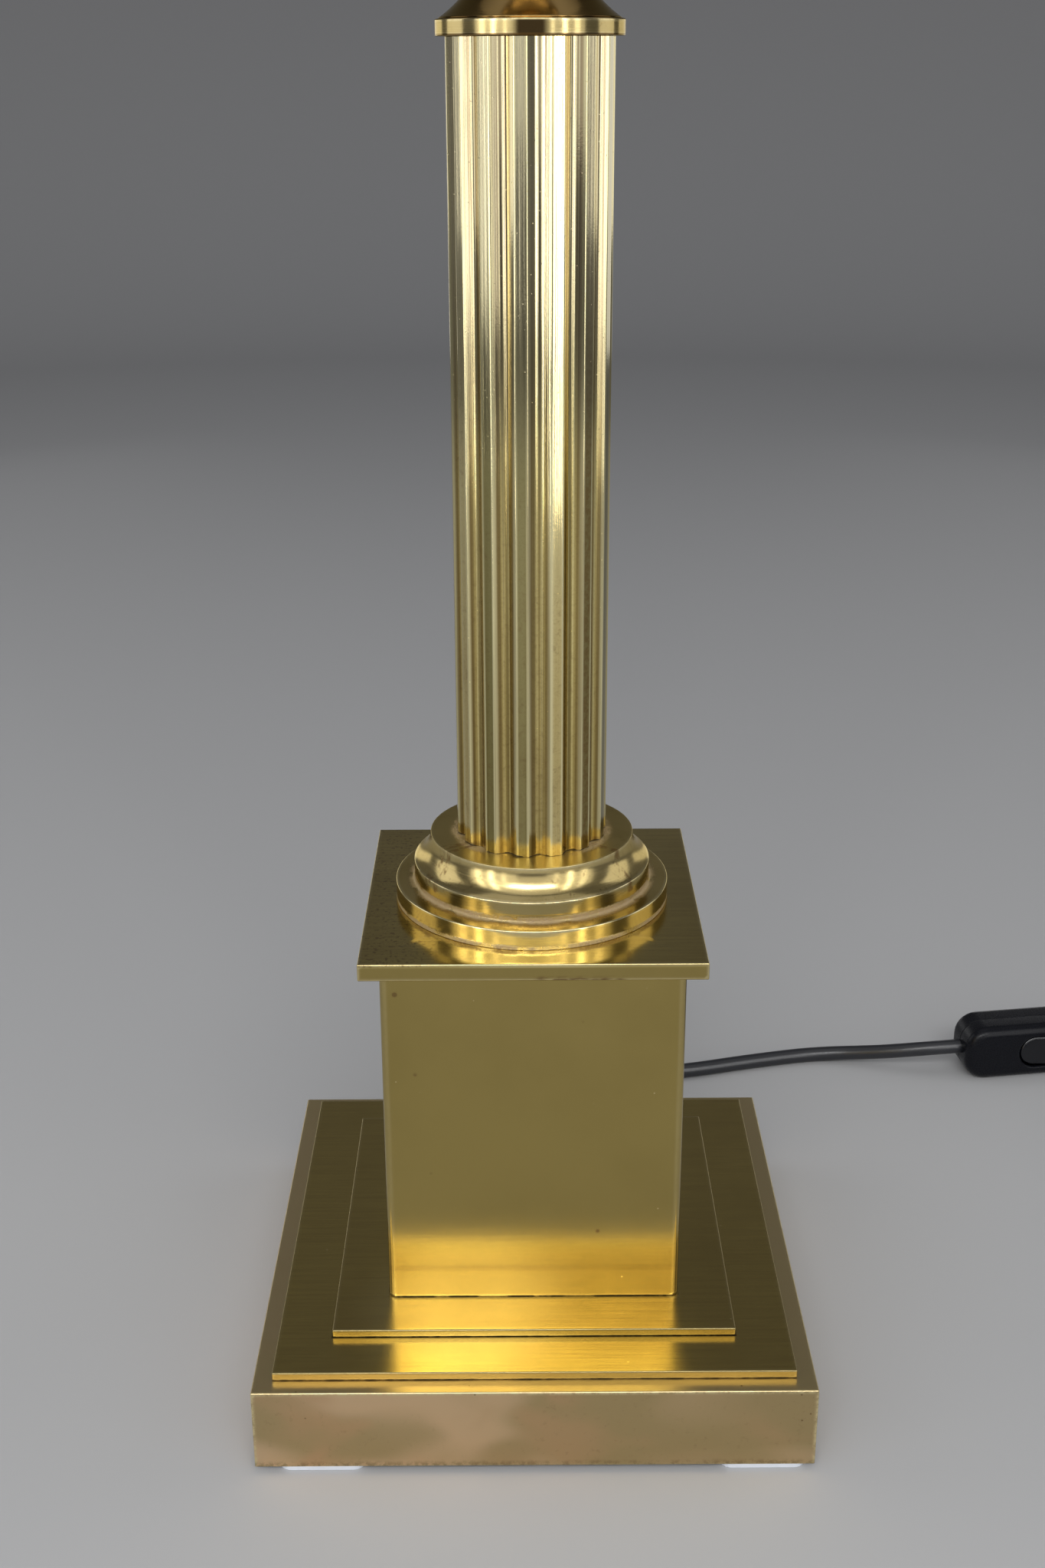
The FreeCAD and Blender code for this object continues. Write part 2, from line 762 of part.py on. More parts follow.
def flute_outline(sketch):
    """One flute: two rounded edges, two straight flanks and a round bottom, open outwards."""
    half_pitch = math.radians(180 / value("flute_count"))
    normal = FreeCAD.Vector(math.cos(half_pitch), math.sin(half_pitch), 0)
    along = FreeCAD.Vector(-normal.y, normal.x, 0)
    edge_radius = value("flat_edge")
    flute_radius = value("flute_radius")
    flat_end = normal * value("column_radius") - along * value("flat_half")
    edge_centre = flat_end - normal * edge_radius
    flute_x = value("column_radius") - value("flute_depth") + flute_radius
    flute_centre = FreeCAD.Vector(flute_x, 0, 0)
    across = flute_centre - edge_centre
    swing = math.acos((edge_radius + flute_radius) / across.Length)
    direction = math.atan2(across.y, across.x) + swing
    touch = FreeCAD.Vector(math.cos(direction), math.sin(direction), 0)
    flank_top = edge_centre + touch * edge_radius
    flank_foot = flute_centre - touch * flute_radius
    outer_x = value("column_radius") + 3

    def mirrored(point):
        return FreeCAD.Vector(point.x, -point.y, 0)

    up = FreeCAD.Vector(0, 0, 1)
    low_angle, high_angle = direction, half_pitch
    edge_circle = Part.Circle(edge_centre, up, edge_radius)
    twin_circle = Part.Circle(mirrored(edge_centre), up, edge_radius)
    flute_circle = Part.Circle(flute_centre, up, flute_radius)
    foot_angle = math.atan2(flank_foot.y, flank_foot.x - flute_x)
    corner = FreeCAD.Vector(outer_x, flat_end.y, 0)
    sketch.addGeometry([
        Part.LineSegment(corner, flat_end),
        Part.ArcOfCircle(edge_circle, low_angle, high_angle),
        Part.LineSegment(flank_top, flank_foot),
        Part.ArcOfCircle(flute_circle, foot_angle, 2 * math.pi - foot_angle),
        Part.LineSegment(mirrored(flank_foot), mirrored(flank_top)),
        Part.ArcOfCircle(twin_circle, -high_angle, -low_angle),
        Part.LineSegment(mirrored(flat_end), mirrored(corner)),
        Part.LineSegment(mirrored(corner), corner),
    ], False)
    link = Sketcher.Constraint
    sketch.addConstraint([
        link("Coincident", 0, 2, 1, 2),
        link("Tangent", 1, 1, 2, 1),
        link("Tangent", 2, 2, 3, 1),
        link("Tangent", 3, 2, 4, 1),
        link("Tangent", 4, 2, 5, 2),
        link("Coincident", 5, 1, 6, 1),
        link("Coincident", 6, 2, 7, 1),
        link("Coincident", 7, 2, 0, 1),
        link("Horizontal", 0),
        link("Horizontal", 6),
        link("Vertical", 7),
        link("Equal", 1, 5),
    ])
    pitch_half = "(180 / flute_count)"
    centre_x = (f"(column_radius - flat_edge) * cos({pitch_half})"
                f" + flat_half * sin({pitch_half})")
    centre_y = (f"(column_radius - flat_edge) * sin({pitch_half})"
                f" - flat_half * cos({pitch_half})")
    end_y = f"column_radius * sin({pitch_half}) - flat_half * cos({pitch_half})"
    tie(sketch, "DistanceX", 1, 3, centre_x)
    tie(sketch, "DistanceY", 1, 3, centre_y)
    tie(sketch, "DistanceX", 5, 3, centre_x)
    tie(sketch, "DistanceY", 5, 3, f"-({centre_y})")
    tie(sketch, "DistanceX", 3, 3, "column_radius - flute_depth + flute_radius")
    tie(sketch, "DistanceY", 3, 3, "0")
    tie(sketch, "DistanceY", 0, 2, end_y)
    tie(sketch, "DistanceY", 6, 1, f"-({end_y})")
    tie(sketch, "DistanceX", 0, 1, "column_radius + 3")
    for side, radius in ((1, "flat_edge"), (3, "flute_radius")):
        number = sketch.addConstraint(link("Radius", side, value(radius)))
        sketch.setExpression("Constraints[%d]" % number, full(radius))
    return sketch


def fluted_column():
    """A prism with as many flats as flutes, a flute along each corner and a round bore."""
    body = new_body("fluted_column")
    blank = body.newObject("PartDesign::AdditivePrism", "column_blank")
    bind(blank, Polygon="flute_count", Height="column_height",
         Circumradius="column_radius / cos(180 / flute_count)")
    doc.recompute()
    sketch = flute_outline(sketch_on(body, "XY_Plane", "flute_section"))
    flute = pocket(body, sketch)
    before = body.Shape.Volume
    pattern = body.newObject("PartDesign::PolarPattern", "flutes")
    pattern.Originals = [flute]
    axis = [item for item in body.Origin.OriginFeatures if item.Role == "Z_Axis"][0]
    pattern.Axis = (axis, [""])
    pattern.Angle = 360
    bind(pattern, Occurrences="flute_count")
    body.Tip = pattern
    doc.recompute()
    if not body.Shape.Volume < before:
        raise RuntimeError("the flutes are not repeated")
    bore = round_outline(sketch_on(body, "XY_Plane", "column_bore_outline"), "column_bore")
    pocket(body, bore)
    put(body, z="ring_top", turn="180 / flute_count - 90 - flute_turn")
    keep(body, "fluted_column")


def capital():
    """The flange on top of the column, with a spigot that fits the column's bore."""
    corners = [
        ("rod_hole", "-spigot_height"),
        ("spigot_radius", "-spigot_height"),
        ("spigot_radius", "0"),
        ("capital_radius", "0"),
        ("capital_radius", "capital_height"),
        ("rod_hole", "capital_height"),
    ]
    keep(put(turned("capital", corners), z="column_top"), "capital")


def capital_bell():
    """A spun bell with a hollow curve, narrow at the top and open below."""
    centre = "(bell_top_radius + bell_curve)"
    inner_curve = "(bell_curve + bell_wall)"
    foot = f"{centre} - sqrt(bell_curve ^ 2 - bell_height ^ 2)"
    inner_foot = f"{centre} - sqrt({inner_curve} ^ 2 - bell_height ^ 2)"
    inner_top = f"{centre} - sqrt({inner_curve} ^ 2 - bell_wall ^ 2)"
    corners = [
        (inner_foot, "0"),
        (foot, "0"),
        ("bell_top_radius", "bell_height"),
        ("rod_hole", "bell_height"),
        ("rod_hole", "bell_height - bell_wall"),
        (inner_top, "bell_height - bell_wall"),
    ]
    arcs = {1: ("bell_curve", -1), 5: (inner_curve, 1)}
    body = turned("capital_bell", corners, arcs)
    keep(put(body, z="capital_top"), "capital_bell")


def neck_collar():
    """A small turned bead between the bell and the lampholder, over the lock nut."""
    recess = "lock_nut_flats / 2 / cos(30) + rod_gap"
    swell = "collar_height / 2"
    arc_radius = (f"(({swell}) ^ 2 + (collar_radius - bell_top_radius) ^ 2)"
                  " / (2 * (collar_radius - bell_top_radius))")
    upper_radius = (f"(({swell}) ^ 2 + (collar_radius - collar_neck) ^ 2)"
                    " / (2 * (collar_radius - collar_neck))")
    corners = [
        (recess, "0"),
        ("bell_top_radius", "0"),
        ("collar_radius", swell),
        ("collar_neck", "collar_height"),
        ("rod_hole", "collar_height"),
        ("rod_hole", "lock_nut_height + rod_gap"),
        (recess, "lock_nut_height + rod_gap"),
    ]
    arcs = {1: (arc_radius, 1), 2: (upper_radius, 1)}
    keep(put(turned("neck_collar", corners, arcs), z="bell_top"), "neck_collar")


# Threaded tube and its nuts

def threaded_rod():
    length = "collar_top + holder_neck_height - rod_tail"
    solid = rod("rod_solid", "rod_radius", length, z="rod_tail")
    bore = rod("rod_bore_tool", "rod_bore", f"{length} + 2", z="rod_tail - 1")
    keep(cut("threaded_rod", solid, bore), "threaded_rod")


def nut(node, flats, height, z):
    solid = hexagon(node + "_blank", flats, height, z)
    hole = rod(node + "_hole", "rod_hole", f"{height} + 2", z=f"{z} - 1")
    keep(cut(node, solid, hole), node)


def rod_washer():
    z = "weight_bottom - washer_height"
    solid = rod("washer_blank", "washer_radius", "washer_height", z=z)
    hole = rod("washer_hole", "rod_hole", "washer_height + 2", z=f"{z} - 1")
    keep(cut("rod_washer", solid, hole), "rod_washer")


# Lampholder

def lampholder_cap():
    """A domed cap: narrow neck on the threaded tube, ledge for the insulator, wide skirt."""
    dome_foot = "holder_neck_height"
    dome_top = "(holder_neck_height + holder_dome_height)"
    full_top = "(holder_neck_height + holder_dome_height + holder_skirt_height)"
    dome_curve = "(skirt_outer - collar_neck)"
    inner_dome = "(insulator_radius - 1.5)"
    corners = [
        ("rod_hole", "0"),
        ("collar_neck", "0"),
        ("collar_neck", dome_foot),
        ("skirt_outer", dome_top),
        ("skirt_outer", full_top),
        ("skirt_inner", full_top),
        ("skirt_inner", dome_top),
        (inner_dome, dome_top),
        ("rod_hole + 2", f"{dome_foot} + holder_wall"),
        ("rod_hole", f"{dome_foot} + holder_wall"),
    ]
    inner_curve = f"({inner_dome} - rod_hole - 2)"
    inner_rise = "(holder_dome_height - holder_wall)"
    arcs = {
        2: (f"({dome_curve} ^ 2 + holder_dome_height ^ 2) / (2 * {dome_curve})", 1),
        7: (f"({inner_curve} ^ 2 + {inner_rise} ^ 2) / (2 * {inner_curve})", -1),
    }
    body = turned("lampholder_cap", corners, arcs)
    keep(put(body, z="collar_top"), "lampholder_cap")


def lampholder_shell():
    """The threaded outer tube: relieved foot, free thread, inward lip over the insulator."""
    inner = "(shell_radius - shell_wall)"
    relief_top = "holder_skirt_height + shade_ring_height + relief_depth"
    corners = [
        (inner, "0"),
        ("relief_radius", "0"),
        ("relief_radius", relief_top),
        ("shell_radius", relief_top),
        ("shell_radius", "shell_height"),
        (f"{inner} - shell_lip", "shell_height"),
        (f"{inner} - shell_lip", "shell_height - shell_wall"),
        (inner, "shell_height - shell_wall"),
    ]
    keep(put(turned("lampholder_shell", corners), z="holder_ledge"), "lampholder_shell")


def shade_ring():
    """The loose ring that clamps a shade: it runs on the outer thread of the shell."""
    bore = "(shell_radius + thread_fit)"
    outer = f"({bore} + shade_ring_width)"
    corners = [
        (bore, "0"),
        (outer, "0"),
        (outer, "shade_ring_lip"),
        (f"{outer} - shade_ring_lip", "2 * shade_ring_lip"),
        (f"{outer} - shade_ring_lip", "shade_ring_height"),
        (bore, "shade_ring_height"),
    ]
    keep(put(turned("shade_ring", corners), z="skirt_top"), "shade_ring")


def socket_insulator():
    """The ceramic cup that carries the contacts: a well for the middle one, two rivet holes."""
    inner = "(socket_radius + socket_wall + insulator_gap / 2)"
    corners = [
        ("rivet_radius + screw_gap", "0"),
        ("insulator_radius", "0"),
        ("insulator_radius", "shell_height - shell_wall"),
        (inner, "shell_height - shell_wall"),
        (inner, "insulator_web"),
        ("contact_radius + contact_clear", "insulator_web"),
        ("contact_radius + contact_clear", "contact_web"),
        ("rivet_radius + screw_gap", "contact_web"),
    ]
    body = put(turned("insulator_cup", corners), z="holder_ledge")
    hole = rod("shell_rivet_hole", "rivet_radius + screw_gap", "insulator_web + 2 * tool_reach",
               "-shell_rivet_place", "0", "holder_ledge - tool_reach")
    keep(cut("socket_insulator", body, hole), "socket_insulator")


def screw_shell():
    """The threaded sleeve that takes the bulb, with a flange on the insulator's floor."""
    outer = "(socket_radius + socket_wall)"
    corners = [
        ("contact_radius + contact_clear", "0"),
        (outer, "0"),
        (outer, "socket_depth + socket_wall"),
        ("socket_radius", "socket_depth + socket_wall"),
        ("socket_radius", "socket_wall"),
        ("contact_radius + contact_clear", "socket_wall"),
    ]
    body = put(turned("screw_shell_sleeve", corners), z="socket_floor")
    hole = rod("sleeve_rivet_hole", "rivet_radius", "socket_wall + 2 * tool_reach",
               "-shell_rivet_place", "0", "socket_floor - tool_reach")
    keep(cut("screw_shell", body, hole), "screw_shell")


def socket_contacts():
    """The centre tongue on its rivet, the rivet of the sleeve, and the terminals below."""
    strap_z = "holder_ledge - strap_thickness"
    stem = rod("centre_stem", "rivet_radius", "contact_web + socket_wall", z="holder_ledge")
    strap_length = "terminal_place + rivet_radius"
    strap = block("centre_strap", strap_length, "2 * rivet_radius", "strap_thickness",
                  f"({strap_length}) / 2 - rivet_radius", "0", strap_z)
    tongue_z = "holder_ledge + contact_web"
    tongue = rod("centre_tongue", "contact_radius", "socket_wall", z=tongue_z)
    button = cone("centre_button", "contact_radius / 2", "contact_radius / 4", "contact_rise",
                  z=f"{tongue_z} + socket_wall")
    keep(join("centre_contact", stem, strap, tongue, button), "centre_contact")
    keep(rod("sleeve_rivet", "rivet_radius", "insulator_web + socket_wall + strap_thickness",
             "-shell_rivet_place", "0", strap_z), "sleeve_rivet")
    blocks = []
    screws = []
    middle = "terminal_level + terminal_side / 2"
    for name, x in (("right", "terminal_place"), ("left", "-terminal_place")):
        solid = block(f"terminal_{name}_solid", "terminal_side", "terminal_side",
                      "terminal_side", x, "0", "terminal_level")
        hole = rod(f"terminal_{name}_hole", "rivet_radius + screw_gap", "terminal_side",
                   x, "terminal_side / -2", middle, along=Y_AXIS)
        blocks.append(cut(f"terminal_{name}", solid, hole))
        screws.append(rod(f"terminal_{name}_screw", "rivet_radius", "terminal_side + 1",
                          x, "terminal_side / -2 - 1", middle, along=Y_AXIS))
    keep(group("socket_terminals", *blocks), "socket_terminals")
    keep(group("socket_terminal_screws", *screws), "socket_terminal_screws")


# Wiring inside the lamp

def clamp_screw_places():
    return [("-clamp_screw_place", "clamp_place"), ("clamp_screw_place", "clamp_place")]


def cord_clamp():
    low = "(cord_exit_height - cord_radius - clamp_floor)"
    body = block("clamp_block", "clamp_width", "clamp_length", f"weight_bottom - {low}",
                 "0", "clamp_place", low)
    channel = rod("clamp_channel", "cord_radius + cord_fit", "clamp_length + 2", "0",
                  "clamp_place - clamp_length / 2 - 1", "cord_exit_height", along=Y_AXIS)
    holes = screw_holes("clamp_block_hole", clamp_screw_places(), f"{low} - 1",
                        f"weight_bottom - {low} + 2")
    keep(cut("cord_clamp", body, channel, *holes), "cord_clamp")
    screws = small_screws("clamp_screws", clamp_screw_places(), f"{low} - small_head_height",
                          f"weight_bottom - {low} + small_screw_depth - 1")
    keep(screws, "clamp_screws")


def terminal_block():
    low = "(weight_bottom - block_height)"
    body = block("block_solid", "block_width", "block_length", "block_height",
                 "0", "block_place", low)
    hole = screw_holes("block_solid_hole", [("0", "block_place")], f"{low} - 1",
                       "block_height + 2")
    keep(cut("terminal_block", body, *hole), "terminal_block")
    screw = small_screws("block_screw", [("0", "block_place")], f"{low} - small_head_height",
                         "block_height + small_screw_depth - 1")
    keep(screw, "block_screw")


def mirrored_route(points):
    return [(-x, y, z) for x, y, z in points]


def core_route():
    """From the end of the cord's cover to the back of the terminal block, right-hand core."""
    bared = value("clamp_place - clamp_length / 2 - cord_strip")
    back = value("block_place + block_length / 2")
    low = value("cord_exit_height")
    high = value("block_middle")
    return [
        (1.6, bared, low),
        (1.6, bared - 3, low),
        (3.7, back + 2.6, high),
        (3.7, back, high),
    ]


def wire_route():
    """From the terminal block, up through the threaded tube, to a lampholder terminal."""
    front = value("block_place - block_length / 2")
    high = value("block_middle")
    tail = value("rod_tail")
    top = value("terminal_level + terminal_side / 2")
    terminal = value("terminal_place - terminal_side / 2")
    return [
        (3.7, front, high),
        (3.7, front - 4.5, high),
        (2.6, 16, tail - 1.8),
        (1.5, 6.5, tail - 2.6),
        (1.3, 0.5, tail - 2.4),
        (1.3, 0, tail + 1.6),
        (1.35, 0, top - 9),
        (1.9, 0, top - 2.5),
        (3.6, 0, top),
        (terminal, 0, top),
    ]


def lamp_wires():
    radius = value("wire_radius")
    pairs = (("supply_cores", core_route()), ("lamp_wires", wire_route()))
    for node, route in pairs:
        sides = [tube(node + "_right", route, radius),
                 tube(node + "_left", mirrored_route(route), radius)]
        keep(group(node, *sides), node)


def entry_cord():
    start = "clamp_place - clamp_length / 2 - cord_strip"
    length = f"plinth_side / 2 + boot_length - ({start})"
    keep(rod("entry_cord", "cord_radius", length, "0", start, "cord_exit_height",
             along=Y_AXIS), "entry_cord")


# Cord and what is on it

def cord_boot():
    """A tapered strain relief with a groove that grips the plinth's back wall."""
    wall = "plinth_wall"
    inner_end = "(-plinth_wall - boot_flange_height)"
    corners = [
        ("cord_radius + cord_fit", inner_end),
        ("boot_flange - 1", inner_end),
        ("boot_flange - 1", f"-{wall}"),
        ("boot_neck", f"-{wall}"),
        ("boot_neck", "0"),
        ("boot_flange", "0"),
        ("boot_flange", "boot_flange_height"),
        ("boot_root", "boot_flange_height"),
        ("boot_tip", "boot_length"),
        ("cord_radius + cord_fit", "boot_length"),
    ]
    body = turned("cord_boot", corners)
    body.Placement = FreeCAD.Placement(
        FreeCAD.Vector(0, 0, 0), FreeCAD.Rotation(Z_AXIS, Y_AXIS))
    keep(put(body, "0", "plinth_side / 2", "cord_exit_height"), "cord_boot")


def cord_coil():
    """The outer shape of the wound cord, with a seat under it that the tie presses in."""
    corners = [
        ("coil_mean - coil_half", "0"),
        ("coil_mean + coil_half", "0"),
        ("coil_mean + coil_half", "coil_height"),
        ("coil_mean - coil_half", "coil_height"),
    ]
    wound = put(turned("wound_cord", corners), "coil_x", "coil_y", "0")
    seat = block("tie_seat", "tie_width", "2 * (coil_half + tie_gap)", "tie_thickness",
                 "coil_x", "coil_y - coil_mean", "0")
    keep(cut("cord_coil", wound, seat), "cord_coil")


def coil_tie():
    """A strap round the coil's section, on its front side."""
    across = "(2 * (coil_half + tie_gap))"
    outer = block("tie_outer", "tie_width", f"{across} + 2 * tie_thickness",
                  "coil_height + tie_thickness", "coil_x", "coil_y - coil_mean", "0")
    inner = block("tie_inner", "tie_width + 2", across, "coil_height - tie_thickness",
                  "coil_x", "coil_y - coil_mean", "tie_thickness")
    keep(cut("coil_tie", outer, inner), "coil_tie")


def free_cord():
    radius = value("cord_radius")
    for node, route in (("cord_run", RUN_TO_SWITCH), ("cord_feed", RUN_TO_COIL),
                        ("cord_tail", RUN_TO_PLUG)):
        keep(tube(node, route, radius), node)


# Switch, modelled about its own middle: +X along it, +Y towards its back, +Z up

def put_in_switch(thing):
    return put(thing, "switch_x", "switch_y", "switch_breadth / 2", "switch_turn")


def switch_block(name, length, width, height, x="0", y="0", z="0"):
    """A box centred on x, y and z."""
    return block(name, length, width, height, x, y, f"{z} - ({height}) / 2")


def switch_half(name, from_front):
    """One half of the case: a round-cornered dish, open at the middle plane."""
    body = new_body(name)
    sketch = sketch_on(body, "XZ_Plane", name + "_outline")
    rounded_box_outline(sketch, "switch_length / 2", "switch_breadth / 2", "switch_corner")
    feature = pad(body, sketch, "switch_face")
    feature.Reversed = not from_front
    doc.recompute()
    depth = value("switch_face")
    side = -1 if from_front else 1

    def outer_rim(edge, middle):
        return abs(middle.y - side * depth) < 0.01
    round_edges(body, "switch_round", outer_rim)
    hollow = sketch_on(body, "XZ_Plane", name + "_hollow")
    rounded_box_outline(hollow, "switch_length / 2 - switch_wall",
                        "switch_breadth / 2 - switch_wall", "switch_corner - switch_wall")
    pocket(body, hollow, "switch_face - switch_wall", towards_normal=from_front)
    return body


def oval_hole(name, half_length, half_width, depth):
    """A slot-shaped prism through the switch's front face."""
    body = new_body(name)
    sketch = sketch_on(body, "XZ_Plane", name + "_outline")
    reach = f"({half_length} - ({half_width}))"
    wide = f"({half_width})"
    corners = [(f"-{reach}", f"-{wide}"), (reach, f"-{wide}"),
               (f"({half_length})", "0"),
               (reach, wide), (f"-{reach}", wide),
               (f"-({half_length})", "0")]
    arcs = {side: (half_width, 1) for side in (1, 2, 4, 5)}
    outline(sketch, corners, arcs)
    pad(body, sketch, depth)
    return body


def switch_case():
    front = switch_half("switch_front_dish", True)
    opening = oval_hole("rocker_opening", "rocker_half + rocker_gap",
                        "rocker_side_half + rocker_side_gap", "switch_wall + 2 * tool_reach")
    put(opening, "0", "switch_wall + tool_reach - switch_face", "0")
    cheek_height = "(switch_breadth / 2 - switch_wall / 2 - cheek_inner)"
    cheek_depth = "(pivot_depth - switch_wall / 2 + pin_radius + cheek_wall)"
    cheeks = []
    for name, sign in (("upper", ""), ("lower", "-")):
        middle = f"{sign}(cheek_inner + {cheek_height} / 2)"
        cheeks.append(switch_block(f"cheek_{name}", "cheek_length", cheek_depth, cheek_height,
                                   "0", f"switch_wall / 2 - switch_face + {cheek_depth} / 2",
                                   middle))
    pin_length = "(2 * cheek_inner + cheek_length / 2)"
    bore = rod("pin_bore", "pin_radius", pin_length, "0", "-pivot_place", f"{pin_length} / -2")
    with_opening = cut("switch_front_opened", front, opening)
    solid = join("switch_front_solid", with_opening, *cheeks)
    posts = screw_posts("front_post", "switch_wall / 2 - switch_face",
                        "switch_face - switch_wall / 2")
    with_posts = join("switch_front_posts", solid, *posts)
    screw_tools = [rod(f"front_screw_hole_{number}", "case_screw + screw_gap",
                       "case_screw_reach + 2 * tool_reach", x,
                       "-case_screw_reach - tool_reach", "0", along=Y_AXIS)
                   for number, x in enumerate(screw_sides())]
    keep(put_in_switch(cut("switch_front_shell", with_posts, bore, *screw_tools)),
         "switch_front_shell")
    pin = rod("rocker_pin_rod", "pin_radius", pin_length, "0", "-pivot_place",
              f"{pin_length} / -2")
    keep(put_in_switch(group("rocker_pin_group", pin)), "rocker_pin")


def switch_back():
    """The rear half with its rail and posts, and the two screws that hold the case together."""
    rear = switch_half("switch_rear_dish", False)
    rear_posts = screw_posts("rear_post", "0", "switch_face - switch_wall / 2")
    rail_top = "(slider_place + slider_thickness + slider_gap)"
    rail_depth = f"(switch_face - switch_wall / 2 - {rail_top})"
    rail = switch_block("slider_rail", "2 * (slider_half + rail_margin)", rail_depth,
                        "2 * slider_breadth", "0", f"{rail_top} + {rail_depth} / 2", "0")
    rear_solid = join("switch_rear_solid", rear, rail, *rear_posts)
    rear_tools = []
    for number, x in enumerate(screw_sides()):
        rear_tools.append(rod(f"rear_screw_hole_{number}", "case_screw + screw_gap",
                              "switch_face + tool_reach", x, "0", "0", along=Y_AXIS))
        rear_tools.append(rod(f"rear_screw_sink_{number}", "case_head + rod_gap",
                              "case_head_sink + tool_reach",
                              x, "switch_face - case_head_sink", "0", along=Y_AXIS))
    keep(put_in_switch(cut("switch_rear_shell", rear_solid, *rear_tools)), "switch_rear_shell")
    screws = []
    for number, x in enumerate(screw_sides()):
        shank = rod(f"case_screw_shank_{number}", "case_screw",
                    "switch_face - case_head_sink + case_screw_reach",
                    x, "-case_screw_reach", "0", along=Y_AXIS)
        head = rod(f"case_screw_head_{number}", "case_head", "case_head_height",
                   x, "switch_face - case_head_sink", "0", along=Y_AXIS)
        screws.append(join(f"case_screw_{number}", shank, head))
    keep(put_in_switch(group("switch_screws", *screws)), "switch_screws")


def screw_sides():
    return ("-switch_screw_place", "switch_screw_place")


def screw_posts(name, start, length):
    return [rod(f"{name}_{number}", "post_radius", length, x, start, "0", along=Y_AXIS)
            for number, x in enumerate(screw_sides())]


def rocker():
    """The rocker about its own pin: an oval block with a hollow face and an arm behind."""
    front = "(pivot_depth + rocker_rise)"
    body = oval_hole("rocker_oval", "rocker_half", "rocker_side_half", "rocker_depth")
    put(body, "0", f"rocker_depth - {front}", "0")
    dish_centre = (f"-({front}) - sqrt(rocker_dish ^ 2 - rocker_half ^ 2)")
    side = "(rocker_side_half + tool_reach)"
    dish = rod("rocker_dish_tool", "rocker_dish", f"2 * {side}", "0", dish_centre, f"-{side}")
    arm = switch_block("rocker_arm", "2 * arm_half", "arm_reach",
                       "slider_breadth - 2 * arm_side_gap", "0", "arm_reach / 2", "0")
    bore = rod("rocker_bore", "pin_radius + pin_fit", f"2 * {side}", "0", "0", f"-{side}")
    solid = cut("rocker_solid", join("rocker_with_arm", body, arm), dish, bore)
    holder = group("rocker_group", solid)
    put(holder, "switch_x + pivot_place * sin(switch_turn)",
        "switch_y - pivot_place * cos(switch_turn)",
        "switch_breadth / 2", "switch_turn - rocker_tilt")
    keep(holder, "rocker")


def contact_slider():
    """The bar that the rocker's arm pushes along the rail."""
    bar = switch_block("slider_bar", "2 * slider_half", "slider_thickness", "slider_breadth",
                       "0", "slider_place + slider_thickness / 2", "0")
    slot = switch_block("slider_slot_tool", "2 * slider_slot",
                        "slider_thickness + 2 * tool_reach", "slider_breadth - 2 * slot_wall",
                        "0", "slider_place + slider_thickness / 2", "0")
    solid = cut("slider_solid", bar, slot)
    push = "(slider_place + pivot_place + slider_thickness / 2) * sin(rocker_tilt)"
    holder = group("slider_group", solid)
    put(holder, f"switch_x + {push} * cos(switch_turn)",
        f"switch_y + {push} * sin(switch_turn)", "switch_breadth / 2", "switch_turn")
    keep(holder, "contact_slider")


def switch_terminals():
    depth = "(switch_face - switch_wall - slider_place)"
    blocks = []
    screws = []
    for name, x in (("left", "-switch_terminal_place"), ("right", "switch_terminal_place")):
        middle = f"slider_place + {depth} / 2"
        solid = switch_block(f"case_terminal_{name}_solid", "switch_terminal_side", depth,
                             "switch_terminal_side", x, middle, "0")
        hole = rod(f"case_terminal_{name}_hole", "rivet_radius + screw_gap",
                   f"{depth} + 2 * tool_reach", x, "slider_place - tool_reach", "0",
                   along=Y_AXIS)
        blocks.append(cut(f"case_terminal_{name}", solid, hole))
        screws.append(rod(f"case_terminal_{name}_screw", "rivet_radius",
                          f"{depth} + tool_reach", x, "slider_place - tool_reach", "0",
                          along=Y_AXIS))
    keep(put_in_switch(group("switch_terminals", *blocks)), "switch_terminals")
    keep(put_in_switch(group("switch_terminal_screws", *screws)), "switch_terminal_screws")


# Plug, modelled from the middle of its face: +X along its pins

def put_as_plug(thing):
    return put(thing, "plug_x", "plug_y", "0", "plug_turn")


